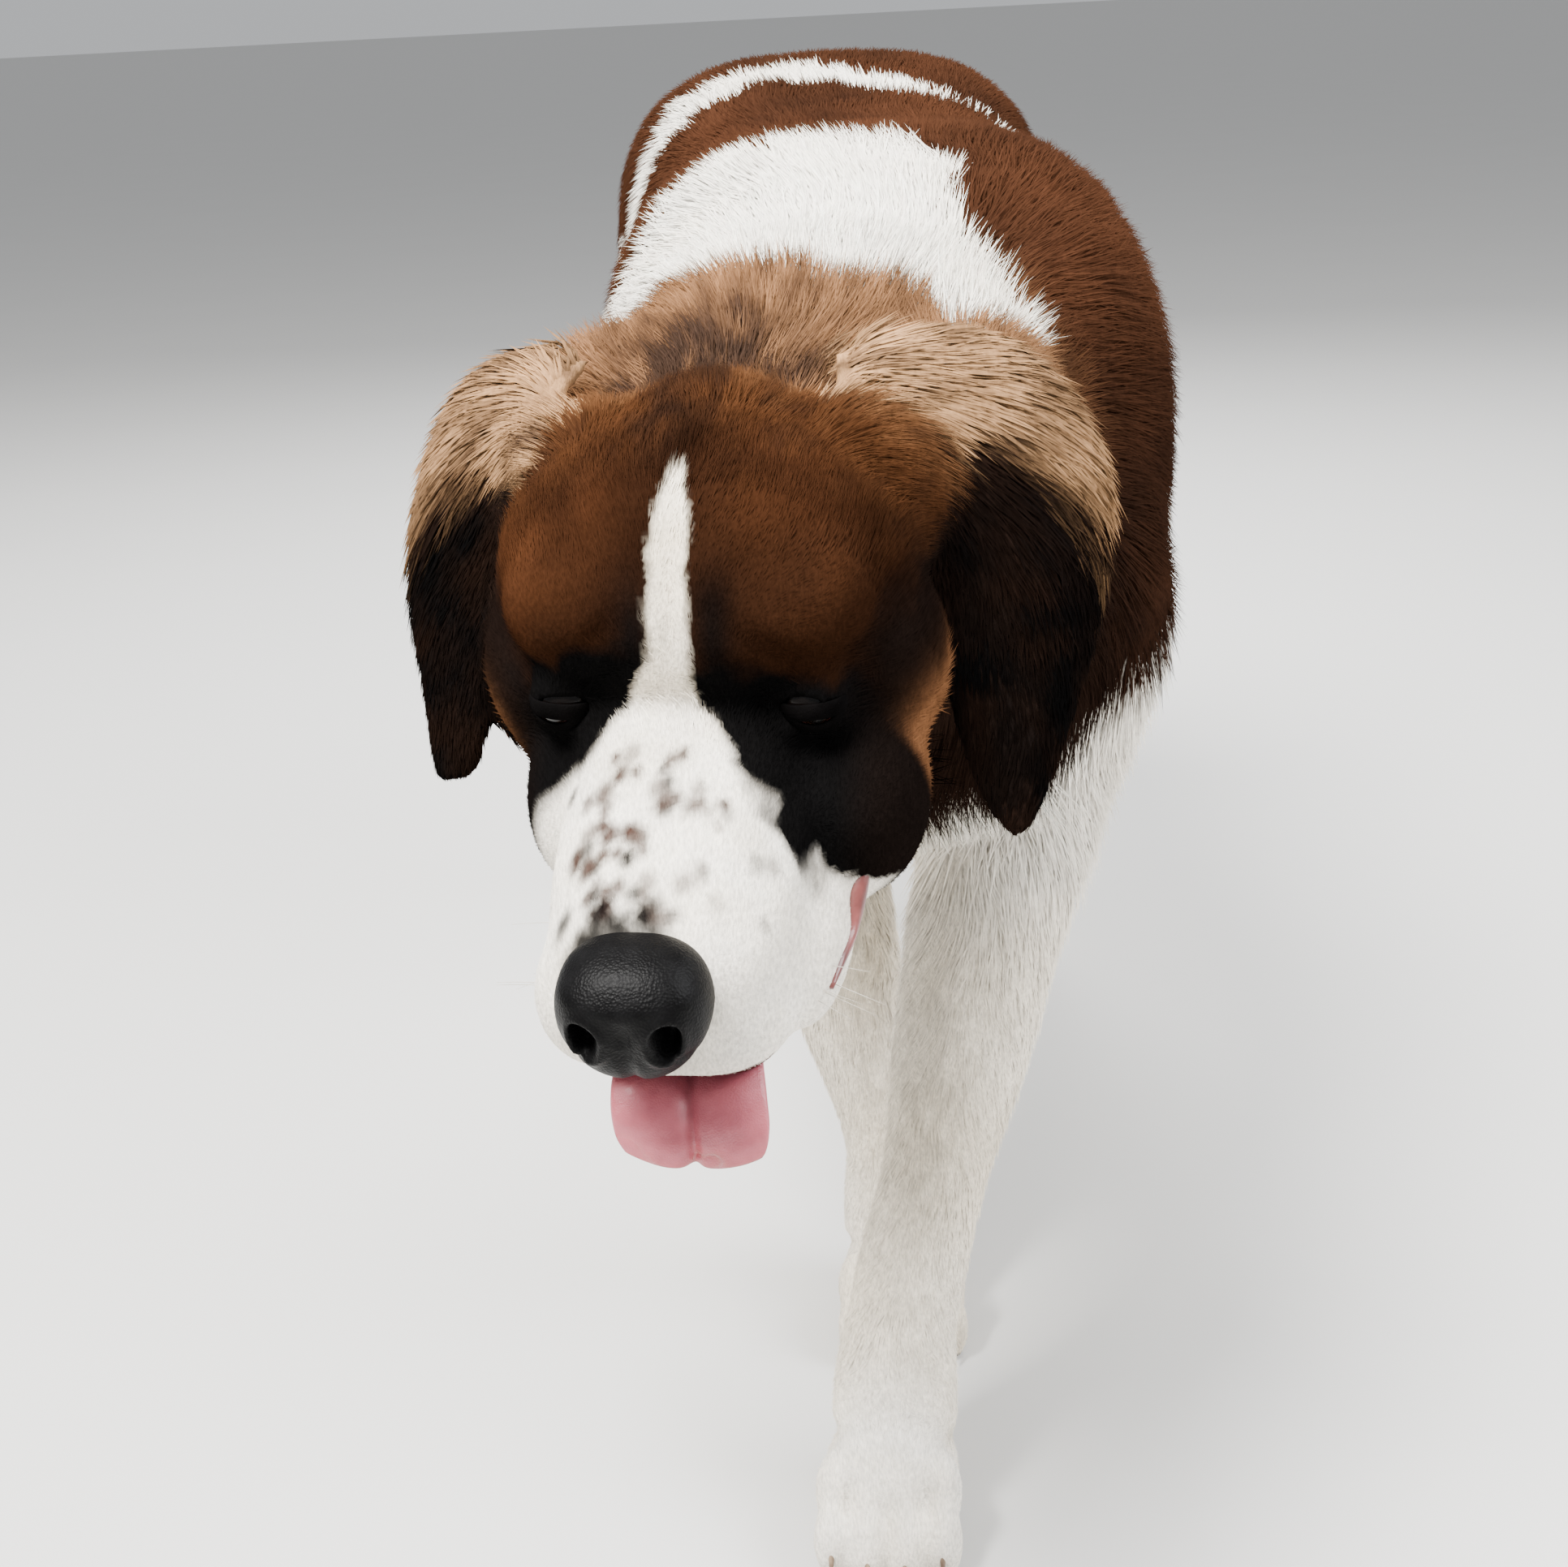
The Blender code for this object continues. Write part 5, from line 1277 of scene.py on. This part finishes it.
def noseRule(a, b, c):  # unit ball to nose leather: blunt, with nostrils, wings and a groove
    bump = 0.0
    front = min(max((0.25 - b) / 0.5, 0), 1)
    out = abs(a)
    across, up = noseShape["nostril"]
    wide, tall = noseShape["nostrilSize"]
    far = math.hypot((out - across) / wide, (c - up) / tall)
    bump -= noseShape["nostrilDepth"] * math.exp(-far ** 4) * front
    bump += 0.07 * math.exp(-((far - 1.45) / 0.4) ** 2) * front
    slit = c - up + 0.2 + 0.55 * (out - across)
    wing = min(max((out - across) / 0.12, 0), 1) * min(max((0.5 - b) / 0.4, 0), 1)
    bump -= 0.12 * math.exp(-(slit / 0.055) ** 2) * wing
    bump -= 0.1 * math.exp(-(a / 0.05) ** 2) * front * min(max((0.45 - c) / 0.3, 0), 1)
    bump += 0.05 * math.exp(-((c - 0.55) / 0.18) ** 2) * front
    narrow = 1.03 - 0.34 * max(-c, 0)
    x = power(a, 0.74) * narrow
    z = power(c, 0.76)
    y = power(b, 0.84) - bump
    return [middle + share * size for middle, share, size in zip(noseShape["at"], (x, y, z), noseShape["size"])]


def makeNose():
    bm = bmesh.new()
    made = bmesh.ops.create_uvsphere(bm, u_segments=noseShape["segments"], v_segments=noseShape["rings"],
                                     radius=1, matrix=turned(90, "X"))["verts"]
    for vert in made:
        vert.co = head @ Vector(noseRule(*vert.co))
    bmesh.ops.smooth_vert(bm, verts=bm.verts, factor=0.4, use_axis_x=True, use_axis_y=True, use_axis_z=True)
    return finishMesh("noseLeather", bm)


def makeTongue():
    bm = bmesh.new()
    made = bmesh.ops.create_grid(bm, x_segments=tongueShape["columns"], y_segments=tongueShape["rows"],
                                 size=1)["verts"]
    rows = spline(tongueShape["path"], 12)
    for vert in made:
        u, v = vert.co.x, (vert.co.y + 1) / 2
        tip = 1 - 0.17 * abs(u) ** 2.6 - 0.045 * math.exp(-(u / 0.16) ** 2)
        at = v * tip * (len(rows) - 1)
        low = min(int(at), len(rows) - 2)
        row = rows[low] + (rows[low + 1] - rows[low]) * (at - low)
        along = Vector(rows[low + 1][:3] - rows[low][:3]).normalized()
        above = along.cross(Vector((1, 0, 0))).normalized()
        swell = 0.003 * (1 - (2 * abs(u) - 1) ** 2) - 0.003 * math.exp(-(u / 0.085) ** 2)
        curl = 0.0035 * u * u * (1 - v)
        ripple = 0.0006 * math.sin(9 * v + 5 * u)
        vert.co = head @ (Vector(row[:3]) + Vector((u * row[3], 0, 0)) + above * (swell + curl + ripple))
    bmesh.ops.solidify(bm, geom=bm.faces[:], thickness=tongueShape["thick"])
    obj = finishMesh("tongueFlesh", bm)
    rounding = obj.modifiers.new("rounding", "SUBSURF")
    rounding.levels = rounding.render_levels = 1
    return applyModifiers(obj)


def eyeMatrix(side):
    return (head @ Matrix.Translation((side * headPose["eyeOut"], headPose["eyeForward"], 0))
            @ turned(side * 14, "Z") @ turned(8, "X"))


def makeEye(side):
    bm = bmesh.new()
    made = bmesh.ops.create_uvsphere(bm, u_segments=56, v_segments=44, radius=1, matrix=turned(90, "X"))["verts"]
    reach = []  # degrees from the middle of the pupil
    for vert in made:
        angle = math.degrees(math.acos(max(-1, min(1, -vert.co.y))))
        reach.append(angle)
        dome = 0.07 * max(0, 1 - (angle / 36) ** 2)
        vert.co = eyeMatrix(side) @ (vert.co * eyeShape["radius"] * (1 + dome))
    obj = finishMesh("eyeball" + ("Left" if side > 0 else "Right"), bm)
    reach = np.array(reach)
    spokes = 0.75 + 0.5 * np.random.default_rng(4).random(len(reach))
    iris = np.array((0.007, 0.003, 0.0016)) * spokes[:, None]
    colour = blend(iris, np.array((0.0034, 0.0024, 0.0021)), ease(31, 35, reach))
    colour = blend(colour, np.array((0.0015, 0.0012, 0.0012)), np.maximum(ease(13, 11, reach), hill(reach, 32, 2.5)))
    paintVertices(obj.data, "eyeTint", colour)
    return obj


def lidPoint(side, angle, scale, stand):  # a place on the lids' edge, wrapped round the eye
    half, above, below = eyeShape["lid"]
    x = half * scale * math.cos(angle)
    rise = math.sin(angle)
    z = (above if rise > 0 else below) * scale * rise * (1 - 0.25 * math.cos(angle) ** 2)
    radius = eyeShape["radius"] + stand
    y = -math.sqrt(max(radius ** 2 - x * x - z * z, 1e-9))
    return Vector((x, y, z))


def addLoop(bm, side, span, scale, stand, half, thick, closed=False, count=44):
    rings = []
    for k in range(count):
        angle = math.radians(span[0] + (span[1] - span[0]) * k / (count if closed else count - 1))
        centre = lidPoint(side, angle, scale, stand)
        out = centre.normalized()
        ahead = lidPoint(side, angle + 0.05, scale, stand) - centre
        across = out.cross(ahead.normalized()).normalized()
        taper = 1.0 if closed else math.sin(math.pi * (0.04 + 0.92 * k / (count - 1))) ** 0.6
        rings.append(newRing(bm, 10, lambda turn: eyeMatrix(side) @ (
            centre + across * half * taper * math.cos(turn) + out * thick * taper * math.sin(turn))))
    closeForm(bm, rings, Matrix.Identity(4), closed)


def makeLids():
    bm = bmesh.new()
    for side in (1, -1):
        addLoop(bm, side, (0, 360), 1.5, 0.001, *eyeShape["lidBand"], True)
    return finishMesh("eyelids", bm)


def makeHaws():
    bm = bmesh.new()
    for side in (1, -1):
        addLoop(bm, side, *eyeShape["haw"], count=26)
        (start, end), *corner = eyeShape["corner"]
        inner = 180 if side > 0 else 0
        addLoop(bm, side, (inner + start, inner + end), *corner, count=14)
    return finishMesh("haws", bm)


def makeLip():
    bm = bmesh.new()
    addTube(bm, lipShape["stations"], (1, 0, 0), head, 0, 2.0, 5, 14, 0.0006)
    return finishMesh("innerLip", bm)


def makeClaws():
    bm = bmesh.new()
    for leg in pawPlaces:
        for spread in toeSpread:
            across, _, tip = toePoints(spread)
            rows = []
            for i in range(5):
                t = i / 4
                radius = clawShape["radius"] * (1 - 0.8 * t ** 1.3)
                rows.append((across, tip - 0.004 - clawShape["length"] * t,
                             clawShape["height"] - 0.001 * t - 0.0115 * t * t, radius * 0.72, radius))
            addTube(bm, rows, (0, 0, 1), pawMatrix(leg), 0, 2.0, 3, 12, 0.0005)
    return finishMesh("claws", bm)


def makeWhiskers():
    bm = bmesh.new()
    rng = np.random.default_rng(77)
    for side in (1, -1):
        for k in range(whiskerShape["count"]):
            aim = head @ Vector((side * 0.09 + flewSwing, -0.078 - 0.04 * rng.random(), -0.06 - 0.035 * rng.random()))
            root, normal, _, _ = skinTree.find_nearest(aim)
            normal = headTurn.to_3x3().inverted() @ normal
            start = head.inverted() @ root
            away = (normal * 0.7 + Vector((side * 0.5, -0.25 + 0.5 * rng.random(), -0.35 * rng.random()))).normalized()
            length = whiskerShape["length"] * rng.uniform(0.6, 1.15)
            rows = []
            for i in range(5):
                t = i / 4
                spot = start + away * length * (t - 0.04) + Vector((0, 0.25, -0.3)) * length * t * t
                radius = whiskerShape["radius"] * (1 - 0.8 * t)
                rows.append((*spot, radius, radius))
            addTube(bm, rows, (0, 0.6, 0.8), head, 0, 2.0, 2, 5, 0.00006)
    return finishMesh("whiskers", bm)


def grainMaterial(name, pale, deep, scale, bumpStrength, cells, sockets, stretch=(1, 1, 1), attribute=""):
    made, tree, shader = newMaterial(name, sockets)
    coords = addNode(tree, "Mapping", "Vector", {"Vector": addNode(tree, "TexCoord", "Object"), "Scale": stretch})
    noise = addNode(tree, "TexNoise", "Fac", {"Vector": coords, "Scale": scale * 0.12, "Detail": 4.0})
    colour = addRamp(tree, noise, deep, pale, 0.32, 0.68)
    if attribute:
        tint = addNode(tree, "Attribute", "Color", attribute_name=attribute)
        colour = addNode(tree, "Mix", "Result", {"Factor": 1.0, "A": tint, "B": colour},
                         data_type="RGBA", blend_type="MULTIPLY")
    fine = {"Vector": coords, "Scale": scale}
    fine = addNode(tree, "TexVoronoi", "Distance", fine) if cells else addNode(tree, "TexNoise", "Fac", fine)
    bump = addNode(tree, "Bump", "Normal", {"Height": fine, "Strength": bumpStrength, "Distance": 0.0005})
    rough = sockets["Roughness"]
    rough = addNode(tree, "MapRange", "Result", {"Value": noise, "To Min": rough * 0.8, "To Max": rough * 1.25})
    feed(tree, shader, {"Base Color": colour, "Normal": bump, "Roughness": rough})
    return made


finishes = {  # pale and deep tone, grain, bump, whether it is cells, the shader's values
    "noseGrain": ((0.0034, 0.0033, 0.0035), (0.0015, 0.0014, 0.0015), 850, 0.5, True,
                  {"Roughness": 0.46, "Specular IOR Level": 0.06, "Coat Weight": 0.01, "Coat Roughness": 0.3}),
    "tongueWet": ((0.46, 0.11, 0.14), (0.39, 0.086, 0.112), 1300, 0.35, True,
                  {"Roughness": 0.44, "Coat Weight": 0.12, "Coat Roughness": 0.22,
                   "Subsurface Weight": 0.12, "Subsurface Scale": 0.004}),
    "hawWet": ((0.095, 0.02, 0.018), (0.04, 0.008, 0.007), 900, 0.2, False,
               {"Roughness": 0.3, "Coat Weight": 0.1, "Coat Roughness": 0.15, "Specular IOR Level": 0.15}),
    "lipPink": ((0.23, 0.062, 0.056), (0.085, 0.022, 0.02), 500, 0.4, False,
                {"Roughness": 0.36, "Coat Weight": 0.3, "Coat Roughness": 0.15}),
    "lidLeather": ((0.0034, 0.003, 0.003), (0.002, 0.0018, 0.0018), 700, 0.3, True,
                   {"Roughness": 0.7, "Specular IOR Level": 0.0}),
    "clawHorn": ((0.3, 0.21, 0.13), (0.085, 0.052, 0.034), 420, 0.25, False,
                 {"Roughness": 0.38, "Coat Weight": 0.15}, (5, 0.7, 2)),
    "whiskerHair": ((0.62, 0.58, 0.5), (0.4, 0.36, 0.3), 900, 0.1, False, {"Roughness": 0.5}),
    "eyeWet": ((1.15, 1.1, 1.05), (0.8, 0.8, 0.8), 2600, 0.02, False,
               {"Roughness": 0.22, "Coat Weight": 0.1, "Coat Roughness": 0.05, "Specular IOR Level": 0.15},
               (1, 1, 1), "eyeTint"),
}
looks = {name: grainMaterial(name, *finish) for name, finish in finishes.items()}


def placePiece(piece, look, slot, *nodes):
    piece.data.materials.clear()
    piece.data.materials.append(looks[look])
    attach(piece, "root")
    if nodes:
        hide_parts(*nodes)


placePiece(makeNose(), "noseGrain", "nose_leather", "nose")
placePiece(makeTongue(), "tongueWet", "tongue", "tongue")
placePiece(makeEye(1), "eyeWet", "eye", "eye_left")
placePiece(makeEye(-1), "eyeWet", "eye", "eye_right")
placePiece(makeLids(), "lidLeather", "dark_coat")
placePiece(makeHaws(), "hawWet", "tongue")
placePiece(makeLip(), "lipPink", "tongue")
placePiece(makeClaws(), "clawHorn", "claw")
placePiece(makeWhiskers(), "whiskerHair", "white_coat")
print("nose, eyes, lids, tongue, lip, claws and whiskers made")
